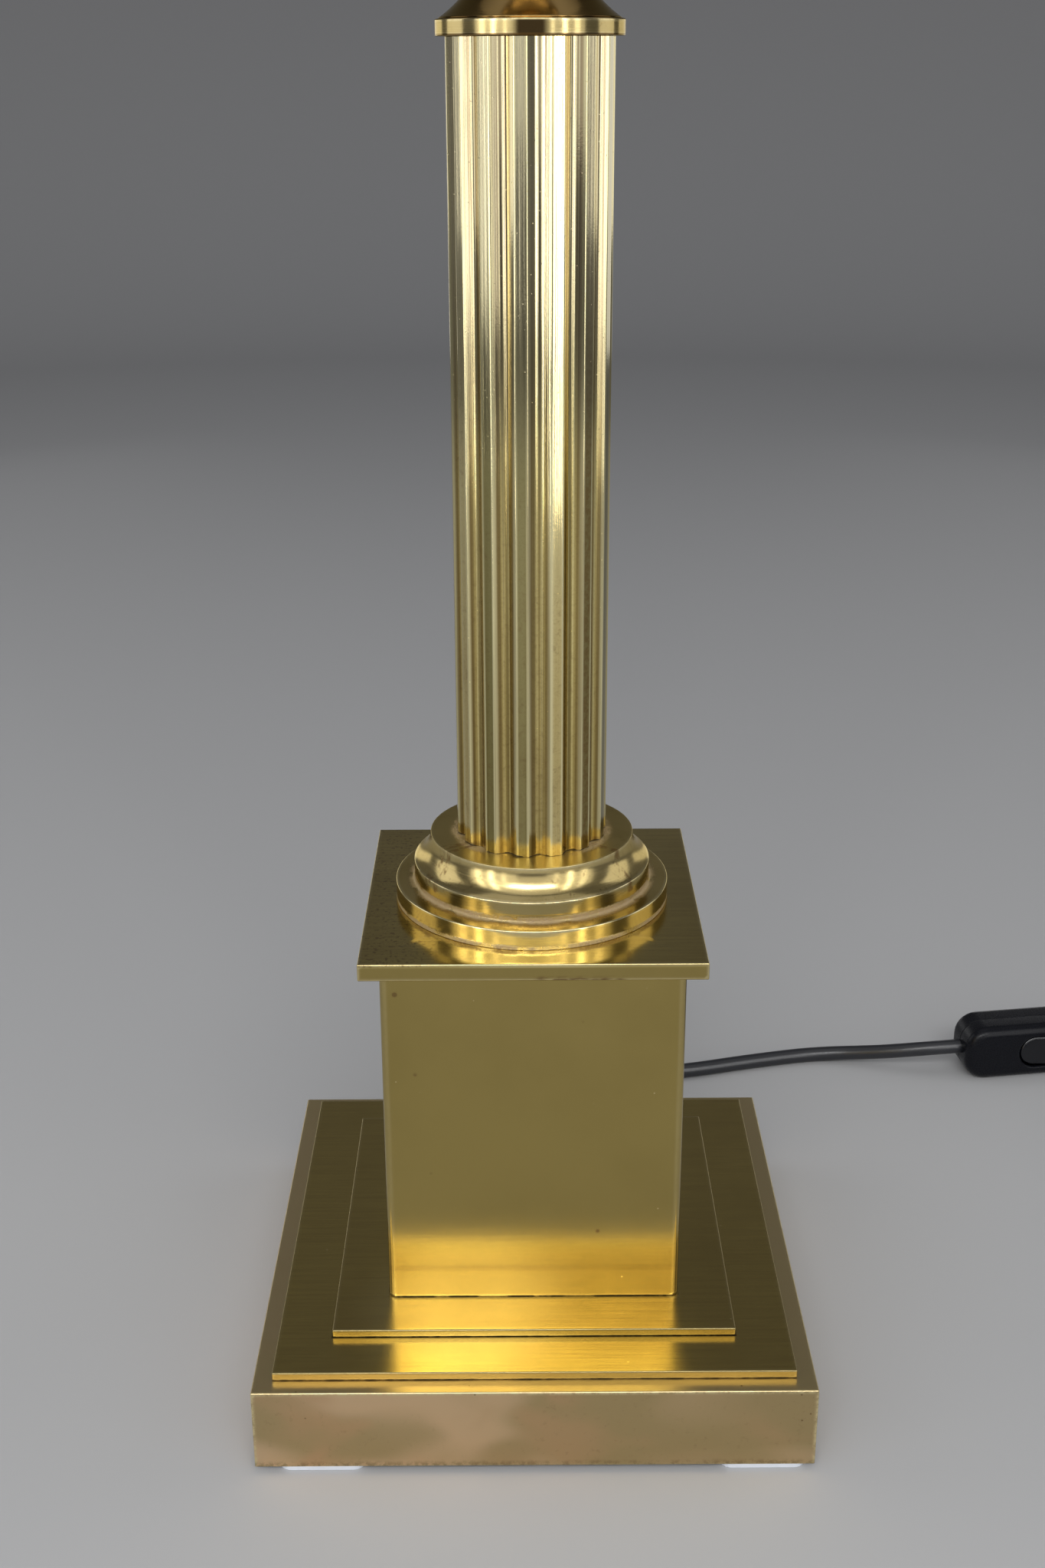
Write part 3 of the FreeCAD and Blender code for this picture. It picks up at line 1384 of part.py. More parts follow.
def plug():
    body = new_body("plug_moulding")
    sketch = sketch_on(body, "XY_Plane", "plug_outline")
    wide, neck = "(plug_width / 2)", "(plug_neck / 2)"
    corners = [
        ("0", f"-{wide}"), ("0", wide),
        ("-plug_shoulder", wide), ("-plug_length", neck),
        ("-plug_length", f"-{neck}"), ("-plug_shoulder", f"-{wide}"),
    ]
    outline(sketch, corners[::-1])
    pad(body, sketch, "plug_height")
    round_edges(body, "plug_round", lambda edge, middle: is_level(edge) and middle.x < -0.1)
    holes = []
    pins = []
    for name, y in (("left", "plug_pin_pitch / 2"), ("right", "plug_pin_pitch / -2")):
        holes.append(rod(f"plug_hole_{name}", "plug_pin_radius", "plug_pin_root + tool_reach",
                         "-plug_pin_root", y, "plug_axis", along=X_AXIS))
        shank = rod(f"plug_shank_{name}", "plug_pin_radius",
                    "plug_pin_root + plug_pin_length - plug_pin_tip", "-plug_pin_root", y,
                    "plug_axis", along=X_AXIS)
        tip = cone(f"plug_tip_{name}", "plug_pin_radius", "plug_pin_radius / 2",
                   "plug_pin_tip", "plug_pin_length - plug_pin_tip", y, "plug_axis",
                   along=X_AXIS)
        pins.append(join(f"plug_pin_{name}", shank, tip))
    keep(put_as_plug(cut("plug_body", body, *holes)), "plug_body")
    keep(put_as_plug(group("plug_pins", *pins)), "plug_pins")
    start = "-plug_length - plug_boot_length"
    boot = cone("plug_boot_cone", "boot_tip", "boot_root", "plug_boot_length", start, "0",
                "plug_axis", along=X_AXIS)
    depth = "plug_boot_length - plug_boot_wall"
    bore = rod("plug_boot_bore", "cord_radius + cord_fit", depth, start, "0", "plug_axis",
               along=X_AXIS)
    keep(put_as_plug(cut("plug_boot", boot, bore)), "plug_boot")
    cord_end = rod("plug_cord", "cord_radius", depth, start, "0", "plug_axis", along=X_AXIS)
    keep(put_as_plug(group("plug_cord_group", cord_end)), "plug_cord_end")


def build():
    foot_pads()
    plinth_cover()
    base_weight()
    bottom_cover()
    square_plate("lower_step_plate", "lower_step_side", "lower_step_height", "plinth_top")
    square_plate("upper_step_plate", "upper_step_side", "upper_step_height", "lower_step_top")
    pedestal_tube()
    locator("lower_locator", "upper_step_top")
    locator("upper_locator", "pedestal_top - locator_thickness")
    square_plate("pedestal_cap", "cap_side", "cap_height", "pedestal_top")
    column_base_ring()
    fluted_column()
    capital()
    capital_bell()
    neck_collar()
    threaded_rod()
    rod_washer()
    nut("rod_nut", "nut_flats", "nut_height", "(weight_bottom - washer_height - nut_height)")
    nut("lock_nut", "lock_nut_flats", "lock_nut_height", "bell_top")
    lampholder_cap()
    lampholder_shell()
    shade_ring()
    socket_insulator()
    screw_shell()
    socket_contacts()
    cord_clamp()
    terminal_block()
    lamp_wires()
    entry_cord()
    cord_boot()
    free_cord()
    cord_coil()
    coil_tie()
    switch_case()
    switch_back()
    rocker()
    contact_slider()
    switch_terminals()
    plug()
    doc.recompute()


def check():
    """Stop with a plain message where anything in the document is not sound."""
    for thing in doc.Objects:
        if "Invalid" in thing.State or "Error" in thing.State:
            raise RuntimeError("%s is in error" % thing.Name)
    for thing in sub_parts:
        if thing.Shape.isNull() or not thing.Shape.isValid():
            raise RuntimeError("%s has a bad shape" % thing.Label)
        if not thing.Shape.Solids:
            raise RuntimeError("%s has no solid" % thing.Label)


def write():
    os.makedirs("parts", exist_ok=True)
    for thing in sub_parts:
        thing.Shape.exportStep("parts/%s.step" % thing.Label)
    total = sum(thing.Shape.Volume for thing in sub_parts)
    print(len(sub_parts), "sub-parts, volume %.0f" % total)


fill_sheet()
build()
check()
write()
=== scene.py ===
import functools
import math

import bmesh
import bpy
from mathutils import Matrix, Vector


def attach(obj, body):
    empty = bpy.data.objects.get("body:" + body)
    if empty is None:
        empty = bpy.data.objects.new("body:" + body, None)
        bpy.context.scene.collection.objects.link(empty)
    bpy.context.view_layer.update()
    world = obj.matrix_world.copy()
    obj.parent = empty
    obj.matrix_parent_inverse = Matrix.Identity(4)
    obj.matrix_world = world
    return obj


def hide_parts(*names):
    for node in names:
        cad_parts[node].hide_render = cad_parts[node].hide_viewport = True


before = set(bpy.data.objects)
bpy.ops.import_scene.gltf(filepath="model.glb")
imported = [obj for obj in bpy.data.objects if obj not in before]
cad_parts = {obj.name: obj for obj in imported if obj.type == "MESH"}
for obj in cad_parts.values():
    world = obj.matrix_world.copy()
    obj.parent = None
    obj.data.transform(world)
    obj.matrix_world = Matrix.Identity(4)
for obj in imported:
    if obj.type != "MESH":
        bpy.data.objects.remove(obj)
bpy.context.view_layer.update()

MM = 0.001

# The lamp's main sizes in mm: half widths of what is square, radii, heights above the floor
PLINTH_HALF, PLINTH_FOOT, PLINTH_TOP = 90, 2.4, 31.2
LOWER_HALF, LOWER_TOP = 83.8, 34.1
UPPER_HALF, UPPER_TOP = 65.95, 36.9
TUBE_HALF, TUBE_TOP = 48.3, 158.3
CAP_HALF, CAP_TOP = 54.45, 164.0
RING_TOP, COLUMN_TOP = 186.8, 430.2
FLANGE_TOP, BELL_TOP, COLLAR_TOP = 434.8, 466.5, 474.5
HOLDER_FOOT, HOLDER_TOP = 492.5, 525.5
BORE, SPIGOT, SPIGOT_LONG = 5.1, 20.65, 5.0
SHEET = 1.5
# From an edge's round to the points that keep the flat beside it flat
SUPPORT = 1.2
# The column's flutes: how many, the angle from flat to flat and the angle of one flat
FLUTES = 14
FLUTE_PITCH = 2 * math.pi / FLUTES
FIRST_FLAT = math.radians(-97.2)


# Lines and rings of points, in mm; edge is 1 where brass is worn

def quarter(steps):
    """Cosine and sine of the angles from 0 to 90 degrees."""
    angles = [math.radians(90 * step / steps) for step in range(steps + 1)]
    return [(math.cos(angle), math.sin(angle)) for angle in angles]


def arc(centre, radius, start, end, steps):
    """Points (a, b, 0) of an arc in a plane, angles in degrees."""
    angles = [math.radians(start + (end - start) * step / steps) for step in range(steps + 1)]
    return [(centre[0] + radius * math.cos(angle), centre[1] + radius * math.sin(angle), 0.0)
            for angle in angles]


def bulge(start, end, steps):
    """An arc through two points that swells outwards, upright at the wider one."""
    rise, swell = abs(end[1] - start[1]), abs(end[0] - start[0])
    radius = (rise * rise + swell * swell) / (2 * swell)
    wide = max(start, end)
    centre = (wide[0] - radius, wide[1])
    first, last = (math.degrees(math.atan2(point[1] - centre[1], point[0] - centre[0]))
                   for point in (start, end))
    return arc(centre, radius, first, last, steps)


def filleted(corners, closed=True, support=0.7):
    """Corners (a, b, radius) to a line of (a, b, edge): round corners with support points."""
    line = []
    count = len(corners)
    steps = 4
    for number, (a, b, radius) in enumerate(corners):
        here = Vector((a, b))
        if radius <= 0 or (not closed and number in (0, count - 1)):
            line.append((a, b, 0.0))
            continue
        back = Vector(corners[number - 1][:2]) - here
        ahead = Vector(corners[(number + 1) % count][:2]) - here
        back_way, ahead_way = back.normalized(), ahead.normalized()
        half = back_way.angle(ahead_way) / 2
        reach = radius / math.tan(half)
        middle = here + (back_way + ahead_way).normalized() * radius / math.sin(half)
        start, end = here + back_way * reach, here + ahead_way * reach
        if back.length > 3 * (reach + support):
            line.append((*(start + back_way * support), 0.0))
        first = start - middle
        swing = first.angle_signed(end - middle)
        for step in range(steps + 1):
            turned = first.copy()
            turned.rotate(Matrix.Rotation(-swing * step / steps, 2))
            line.append((*(middle + turned), 1.0))
        if ahead.length > 3 * (reach + support):
            line.append((*(end + ahead_way * support), 0.0))
    return line


def circle(radius, height, edge=0.0, count=128):
    """A level ring about the lamp's axis; radius is a number or a function of the angle."""
    row = []
    for number in range(count):
        angle = 2 * math.pi * number / count
        reach = radius(angle) if callable(radius) else radius
        row.append((reach * math.cos(angle), reach * math.sin(angle), height, edge))
    return row


def rounded_ring(half_a, half_b, corner, steps):
    """Points (a, b) of a rounded rectangle."""
    points = []
    for number, (side_a, side_b) in enumerate(((1, 1), (-1, 1), (-1, -1), (1, -1))):
        for step in range(steps + 1):
            angle = math.radians(90 * (number + step / steps))
            points.append((side_a * (half_a - corner) + corner * math.cos(angle),
                           side_b * (half_b - corner) + corner * math.sin(angle)))
    return points


def square_ring(half, corner, height, edge, side, steps):
    """A level rounded square with support points; half equal to corner gives a circle."""
    flat = half - corner
    gap = min(SUPPORT, flat * 0.5)
    points = [(half, flat - gap, 0.0)]
    points += [(flat + corner * cos, flat + corner * sin, 1.0) for cos, sin in quarter(steps)]
    points.append((flat - gap, half, 0.0))
    row = []
    for number in range(4):
        turn = Matrix.Rotation(math.radians(90 * number), 2)
        for x, y, worn in points:
            row.append((*(turn @ Vector((x, y))), height, max(edge, worn if side else 0.0)))
    return row


def placed(rows, turn, centre):
    """Rows of points (x, y, z, edge), turned and moved."""
    return [[(*(turn @ Vector(point[:3]) + centre), point[3]) for point in row] for row in rows]


# Meshes and pieces

def add_rows(work, rows, closed_rows=True, caps=False):
    """Rows of points (x, y, z, edge) in mm, each row a closed ring, joined by quads."""
    edge_layer = work.verts.layers.float.get("edge") or work.verts.layers.float.new("edge")
    rings = []
    for row in rows:
        ring = []
        for x, y, z, edge in row:
            vertex = work.verts.new((x * MM, y * MM, z * MM))
            vertex[edge_layer] = edge
            ring.append(vertex)
        rings.append(ring)
    pairs = list(zip(rings, rings[1:]))
    if closed_rows:
        pairs.append((rings[-1], rings[0]))
    for low, high in pairs:
        for number in range(len(low)):
            after = (number + 1) % len(low)
            work.faces.new((low[number], low[after], high[after], high[number]))
    if caps:
        work.faces.new(rings[0][::-1])
        work.faces.new(rings[-1])


def finish_mesh(work):
    bmesh.ops.remove_doubles(work, verts=work.verts, dist=1e-7)
    bmesh.ops.recalc_face_normals(work, faces=work.faces)
    for face in work.faces:
        face.smooth = True
    mesh = bpy.data.meshes.new("mesh")
    work.to_mesh(mesh)
    work.free()
    return mesh


def grid_mesh(rows, closed_rows=True, caps=False):
    work = bmesh.new()
    add_rows(work, rows, closed_rows, caps)
    return finish_mesh(work)


def lathe(line, segments=192, shape=None):
    """Turns a closed line of (radius, height, edge) about the lamp's axis."""
    rows = []
    for radius, height, edge in line:
        reach = functools.partial(shape, radius, height) if shape else radius
        rows.append(circle(reach, height, edge, segments))
    return grid_mesh(rows)


def square_block(half, corner, line, steps=5):
    """A rounded square, swept: line has (inset, height, edge, side), inset None at the bore."""
    least = 0.05
    rows = []
    for inset, height, edge, side in line:
        size = (BORE, BORE) if inset is None else (half - inset, max(corner - inset, least))
        rows.append(square_ring(*size, height, edge, side, steps))
    return grid_mesh(rows)


def link(name, data, material):
    """A new object in the scene, with one material."""
    thing = bpy.data.objects.new(name, data)
    bpy.context.scene.collection.objects.link(thing)
    data.materials.append(material)
    return thing


def piece(name, mesh, material, node, body="lamp"):
    """Adds a mesh as a piece of the object that stands for a CAD node."""
    mesh.name = name
    thing = link(name, mesh, material)
    normals = thing.modifiers.new("normals", "WEIGHTED_NORMAL")
    normals.weight = 80
    normals.keep_sharp = True
    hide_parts(node)
    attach(thing, body)


# Materials; places and lengths in them are in metres

class Value:
    """What a node puts out; its sums, products and the like are nodes too."""

    def __init__(self, paint, socket):
        self.paint, self.socket = paint, socket

    def math(self, operation, second=0.0):
        return self.paint.value("Math", {0: self, 1: second}, operation=operation)

    def __add__(self, other):
        return self.math("ADD", other)

    def __sub__(self, other):
        return self.math("SUBTRACT", other)

    def __rsub__(self, other):
        return self * -1 + other

    def __mul__(self, other):
        return self.math("MULTIPLY", other)

    def __truediv__(self, other):
        return self.math("DIVIDE", other)

    def __pow__(self, other):
        return self.math("POWER", other)

    def __abs__(self):
        return self.math("ABSOLUTE")

    def angle(self, other):
        return self.math("ARCTAN2", other)

    def length(self, other):
        return (self * self + other * other).math("SQRT")

    def step(self, low, high, out_low=0.0, out_high=1.0):
        """Changes smoothly from out_low at low to out_high at high."""
        values = dict(enumerate((self, low, high, out_low, out_high)))
        return self.paint.value("MapRange", values, interpolation_type="SMOOTHSTEP")

    def band(self, low, high, soft):
        """1 from low to high, 0 beyond soft outside them."""
        return self.step(low - soft, low) * self.step(high, high + soft, 1.0, 0.0)


def most(*values):
    """The largest of some values."""
    return functools.reduce(lambda first, second: first.math("MAXIMUM", second), values)


class Paint:
    """A node material in the making, with its colour and bumps so far."""

    def __init__(self, name):
        self.material = bpy.data.materials.new(name)
        self.material.use_nodes = True
        self.tree = self.material.node_tree
        self.tree.nodes.clear()
        self.shader = self.node("BsdfPrincipled", {})
        self.output = self.node("OutputMaterial", {"Surface": self.shader.outputs["BSDF"]})
        self.place = self.value("TexCoord", {}, "Object")
        split = self.node("SeparateXYZ", {0: self.place})
        self.x, self.y, self.z = (Value(self, socket) for socket in split.outputs)
        self.colour = self.normal = None

    def put(self, socket, value):
        value = value.socket if isinstance(value, Value) else value
        if isinstance(value, bpy.types.NodeSocket):
            self.tree.links.new(value, socket)
        elif isinstance(value, tuple) and len(value) == 3 and socket.type == "RGBA":
            socket.default_value = (*value, 1)
        else:
            socket.default_value = value

    def node(self, kind, values, **settings):
        """A new node: settings go to the node itself, values to its sockets."""
        node = self.tree.nodes.new("ShaderNode" + kind)
        for name, value in settings.items():
            setattr(node, name, value)
        for socket, value in values.items():
            self.put(node.inputs[socket], value)
        return node

    def value(self, kind, values, output=0, **settings):
        """What a new node puts out."""
        return Value(self, self.node(kind, values, **settings).outputs[output])

    def set(self, **values):
        for name, value in values.items():
            self.put(self.shader.inputs[name.replace("_", " ")], value)

    def finish(self, rough, **values):
        self.set(Base_Color=self.colour, Roughness=rough, Normal=self.normal, **values)
        return self.material

    def near(self, place, radius, soft):
        """1 within radius of a point, 0 beyond radius + soft."""
        far = self.value("VectorMath", {0: self.place, 1: place}, "Value", operation="DISTANCE")
        return far.step(radius, radius + soft, 1.0, 0.0)

    def corner(self, reach, height, wide):
        """1 in the corner where a square's side of half width reach meets the height."""
        far = (most(abs(self.x), abs(self.y)) - reach).length(self.z - height)
        return far.step(wide * 0.4, wide, 1.0, 0.0)

    def wear(self):
        """1 on worn edges, down to 0 away from them and in the flutes."""
        return self.value("Attribute", {}, "Fac", attribute_name="edge").math("MAXIMUM", 0.0)

    def stretched(self, stretch):
        if not stretch:
            return self.place
        return self.value("VectorMath", {0: self.place, 1: stretch}, operation="MULTIPLY")

    def noise(self, scale, detail=3.0, rough=0.55, stretch=None, distortion=0.0):
        return self.value("TexNoise", {"Vector": self.stretched(stretch), "Scale": scale,
                                       "Detail": detail, "Roughness": rough,
                                       "Distortion": distortion})

    def cells(self, scale, stretch=None):
        values = {"Vector": self.stretched(stretch), "Scale": scale}
        return self.value("TexVoronoi", values, "Distance")

    def mix(self, factor, first, second, kind="MIX"):
        return self.value("Mix", {0: factor, 6: first, 7: second}, 2, data_type="RGBA",
                          blend_type=kind)

    def coat(self, mask, colour, kind="MIX"):
        """Lays a colour over the one so far where the mask says."""
        self.colour = self.mix(mask, self.colour, colour, kind)

    def emboss(self, height, distance, strength):
        """Adds bumps to the ones so far."""
        values = {"Height": height, "Distance": distance, "Strength": strength}
        if self.normal:
            values["Normal"] = self.normal
        self.normal = self.value("Bump", values)


CLEAN = (0.64, 0.505, 0.225)
AGED = (0.49, 0.38, 0.155)
GOLD = (0.64, 0.505, 0.165)
OLIVE = (0.46, 0.36, 0.115)
BROWN = (0.20, 0.115, 0.045)
BRIGHT = (0.86, 0.74, 0.42)
DUST = (0.40, 0.29, 0.17)
GRIME = (0.045, 0.030, 0.015)
# Corners between the plates, in mm: half width, height and width of the dark line
SEAMS = [(LOWER_HALF, PLINTH_TOP, 0.7), (UPPER_HALF, LOWER_TOP, 0.6), (TUBE_HALF, UPPER_TOP, 0.6),
         (TUBE_HALF, TUBE_TOP, 0.9)]


def brass_column():
    """Polished extruded brass: tarnish and painted reflection lines along the flutes, flats of
    differing age and painted reflection, painted light higher up and painted shade lower down.
    """
    aged_and_shaded_flat, fresh_and_sheen_flat, brown_flat = (0.34, 0.30, 0.13), (0.90, 0.77, 0.39), (0.30, 0.20, 0.075)
    dull_flute, clear_flute = (0.54, 0.43, 0.155), (0.74, 0.60, 0.25)
    flank_tarnish_and_shade, middle_tarnish_and_shade = (0.25, 0.175, 0.065), (0.27, 0.21, 0.085)
    reflection_line_gold, drawn_brown = (0.90, 0.77, 0.36), (0.27, 0.20, 0.08)
    painted_shade_tone, painted_light_tone = (0.60, 0.52, 0.34), (0.96, 0.86, 0.58)
    thin_brown, edge_gold = (0.30, 0.20, 0.10), (0.92, 0.82, 0.46)
    paint = Paint("column brass")
    height = paint.z
    streaks = paint.noise(1.0, 4, 0.6, (900, 900, 5))
    wide = paint.noise(1.0, 3, 0.5, (200, 200, 3.5))
    fine_lines = paint.noise(1.0, 2, 0.5, (1700, 1700, 3))
    patches = paint.noise(24, 3, 0.6)
    mottle = paint.noise(520, 3, 0.7)
    grain = paint.noise(1500, 2, 0.6)

    # Flats are counted round the column; off_flat and off_flute are parts of a pitch
    turns = (paint.y.angle(paint.x) - FIRST_FLAT) / FLUTE_PITCH
    flat_number = turns.math("ROUND")
    off_flat = abs(turns - flat_number)
    in_flute = off_flat.step(0.150, 0.165)
    off_flute = 0.5 - off_flat + wide.step(0.3, 0.7, -0.018, 0.018)

    def wave(first, period):
        """1 on the first flat and a whole period from it, -1 halfway."""
        return ((flat_number - first) * (2 * math.pi / period)).math("COSINE")

    # Flats lighter and darker in turn: differing age and painted reflection
    flats = paint.mix(wave(1.0, 3.5).step(-0.5, 0.9), aged_and_shaded_flat, fresh_and_sheen_flat)
    browned = wave(2.0, 7).step(0.7, 0.95) * mottle.step(0.36, 0.60, 0.25, 0.8)
    flats = paint.mix(browned, flats, brown_flat)
    paint.colour = paint.mix(wide.step(0.36, 0.66), dull_flute, clear_flute)
    # In the flutes: tarnish and painted shade on the flanks and in the middle, painted reflection
    # lines between them
    paint.coat(off_flute.step(0.13, 0.19) * streaks.step(0.3, 0.6, 0.9, 0.6), flank_tarnish_and_shade)
    paint.coat(off_flute.step(0.0, 0.05, 0.6, 0.0), middle_tarnish_and_shade)
    paint.coat(off_flute.band(0.062, 0.098, 0.02) * streaks.step(0.3, 0.6, 0.6, 0.95), reflection_line_gold)
    paint.coat(fine_lines.step(0.50, 0.64, 0.0, 0.5), drawn_brown)
    paint.colour = paint.mix(in_flute, flats, paint.colour)

    paint.coat(patches.step(0.55, 0.8, 0.0, 0.35), BROWN)
    paint.coat(mottle.step(0.5, 0.72) * patches.step(0.38, 0.6) * 0.3, BROWN)
    paint.coat(grain.step(0.45, 0.7, 0.0, 0.14), BROWN)
    # Painted shade: the column darker towards the bottom
    paint.coat(height.step(0.205, 0.36, 0.80, 0.0) * streaks.step(0.3, 0.6, 1.0, 0.5),
               painted_shade_tone, "MULTIPLY")
    # Painted light: the upper column lighter, with thin tarnish lines there
    upper = height.step(0.30, 0.39)
    paint.coat(upper * 0.60, painted_light_tone)
    paint.coat(fine_lines.step(0.50, 0.58) * in_flute * upper * 0.62, thin_brown)
    paint.coat(paint.wear() * streaks.step(0.3, 0.6, 0.45, 0.95), edge_gold)
    crack = height + paint.noise(260, 2, 0.5).step(0.3, 0.7, -0.0004, 0.0004)
    foot = crack.band(0.1866, 0.1870, 0.00025)
    paint.coat(foot * 0.85, GRIME)
    paint.emboss(streaks, 0.00006, 0.6)
    paint.emboss(grain, 0.000012, 0.5)
    paint.emboss(paint.cells(420).step(0.02, 0.10), 0.00006, 0.4)
    rough = streaks.step(0.25, 0.75, 0.07, 0.15) + height.step(0.188, 0.200, 0.11, 0.0)
    return paint.finish(rough + foot * 0.4, Metallic=1.0)


def brass_turned():
    """The turned ring and capital: mirror bright, dust in the corners, drip stains, painted shade
    and dark reflection on the capital.
    """
    band_tone, disc_tone, rim_tone = (0.30, 0.235, 0.09), (0.84, 0.70, 0.36), (0.38, 0.30, 0.12)
    flange_front_shade, brink_shade_and_joint_tone = (0.050, 0.030, 0.012), (0.16, 0.09, 0.028)
    bell_dark_reflection_tone, bell_side_shade_tone = (0.29, 0.175, 0.062), (0.075, 0.042, 0.016)
    paint = Paint("turned brass")
    height, away = paint.z, paint.x.length(paint.y)
    turning = paint.noise(1.0, 3, 0.6, (30, 30, 2600))
    patches = paint.noise(55, 3, 0.6)
    mottle = paint.noise(700, 3, 0.7)
    grain = paint.noise(1800, 2, 0.6)
    paint.colour = paint.mix(patches.step(0.4, 0.7, 0.0, 0.7), CLEAN, AGED)
    paint.coat(mottle.step(0.56, 0.7, 0.0, 0.5) * patches.step(0.45, 0.65), BROWN)
    paint.coat(paint.wear() * mottle.step(0.3, 0.6, 0.3, 0.85), BRIGHT)

    # The ring's band, disc and rim
    band = height.band(0.1712, 0.1768, 0.0006) * away.step(0.0392, 0.0396, 1.0, 0.0)
    paint.coat(band * 0.6, band_tone)
    disc = height.band(0.1648, 0.1698, 0.0004) * away.step(0.0446, 0.0449)
    paint.coat(disc * 0.3, disc_tone)
    rim = height.band(0.1866, 0.1872, 0.0002)
    paint.coat(rim * 0.55, rim_tone)

    # The capital's flange, its two edges, and the bell, with painted shade and dark reflection on
    # them; beside is the angle from the front
    beside = math.pi - abs(paint.x.angle(paint.y))
    flange = height.band(0.4299, 0.4340, 0.0004)
    # Painted dark reflection: the flange darker at its front
    paint.coat(flange * beside.step(0.11, 0.22, 0.97, 0.12), flange_front_shade)
    # Painted shade along the flange's lower edge and underside, a dark joint line at its upper edge
    brink_shade_and_joint = most(height.band(0.4300, 0.4307, 0.0003), height.band(0.4345, 0.4349, 0.0002) * 0.6)
    paint.coat(brink_shade_and_joint * 0.85, brink_shade_and_joint_tone)
    # Painted dark reflection over the bell, painted shade on its sides away from the front
    bell = height.step(0.4345, 0.4350)
    paint.coat(bell * 0.85, bell_dark_reflection_tone)
    paint.coat(bell * beside.step(0.35, 0.75, 0.0, 0.72), bell_side_shade_tone)

    # Dust above and below the disc and at the column's foot
    disc_top = height.band(0.1703, 0.1718, 0.0012) * away.step(0.0385, 0.0425, 1.0, 0.0)
    disc_foot = height.band(0.1638, 0.1649, 0.0011)
    rim_foot = (height.band(0.1864, 0.1872, 0.0004) * away.step(0.0250, 0.0280, 0.8, 0.0)
                * abs(paint.x).step(0.006, 0.020, 0.1, 1.0))
    dust = (most(disc_top, disc_foot, rim_foot) * (grain.step(0.35, 0.62) * 0.4 + 0.6)
            * paint.noise(130, 3, 0.6).step(0.32, 0.55, 0.35, 1.0))
    paint.coat(dust, DUST)

    around = paint.y.angle(paint.x)
    drips = [around.band(angle - width / 2, angle + width / 2, width * 0.6) for angle, width in (
        (-2.62, 0.06), (-2.50, 0.035), (-0.62, 0.05), (0.9, 0.06), (2.2, 0.05))]
    drips = (most(*drips) * height.band(0.1745, 0.1868, 0.001)
             * paint.noise(300, 2).step(0.38, 0.6))
    paint.coat(drips * 0.75, BROWN)

    hollow = height.band(0.1785, 0.1862, 0.0008)
    rough = (turning.step(0.3, 0.7, 0.11, 0.18) + dust * 0.5 + rim * 0.20 + hollow * 0.03
             + drips * 0.15)
    paint.emboss(turning, 0.00003, 0.35)
    paint.emboss(grain * dust, 0.0004, 0.6)
    paint.emboss(paint.noise(60, 1, 0.5), 0.0003, 0.04)
    return paint.finish(rough, Metallic=dust.step(0.2, 0.9, 1.0, 0.15),
                        Specular_Tint=(0.95, 0.85, 0.60, 1.0))


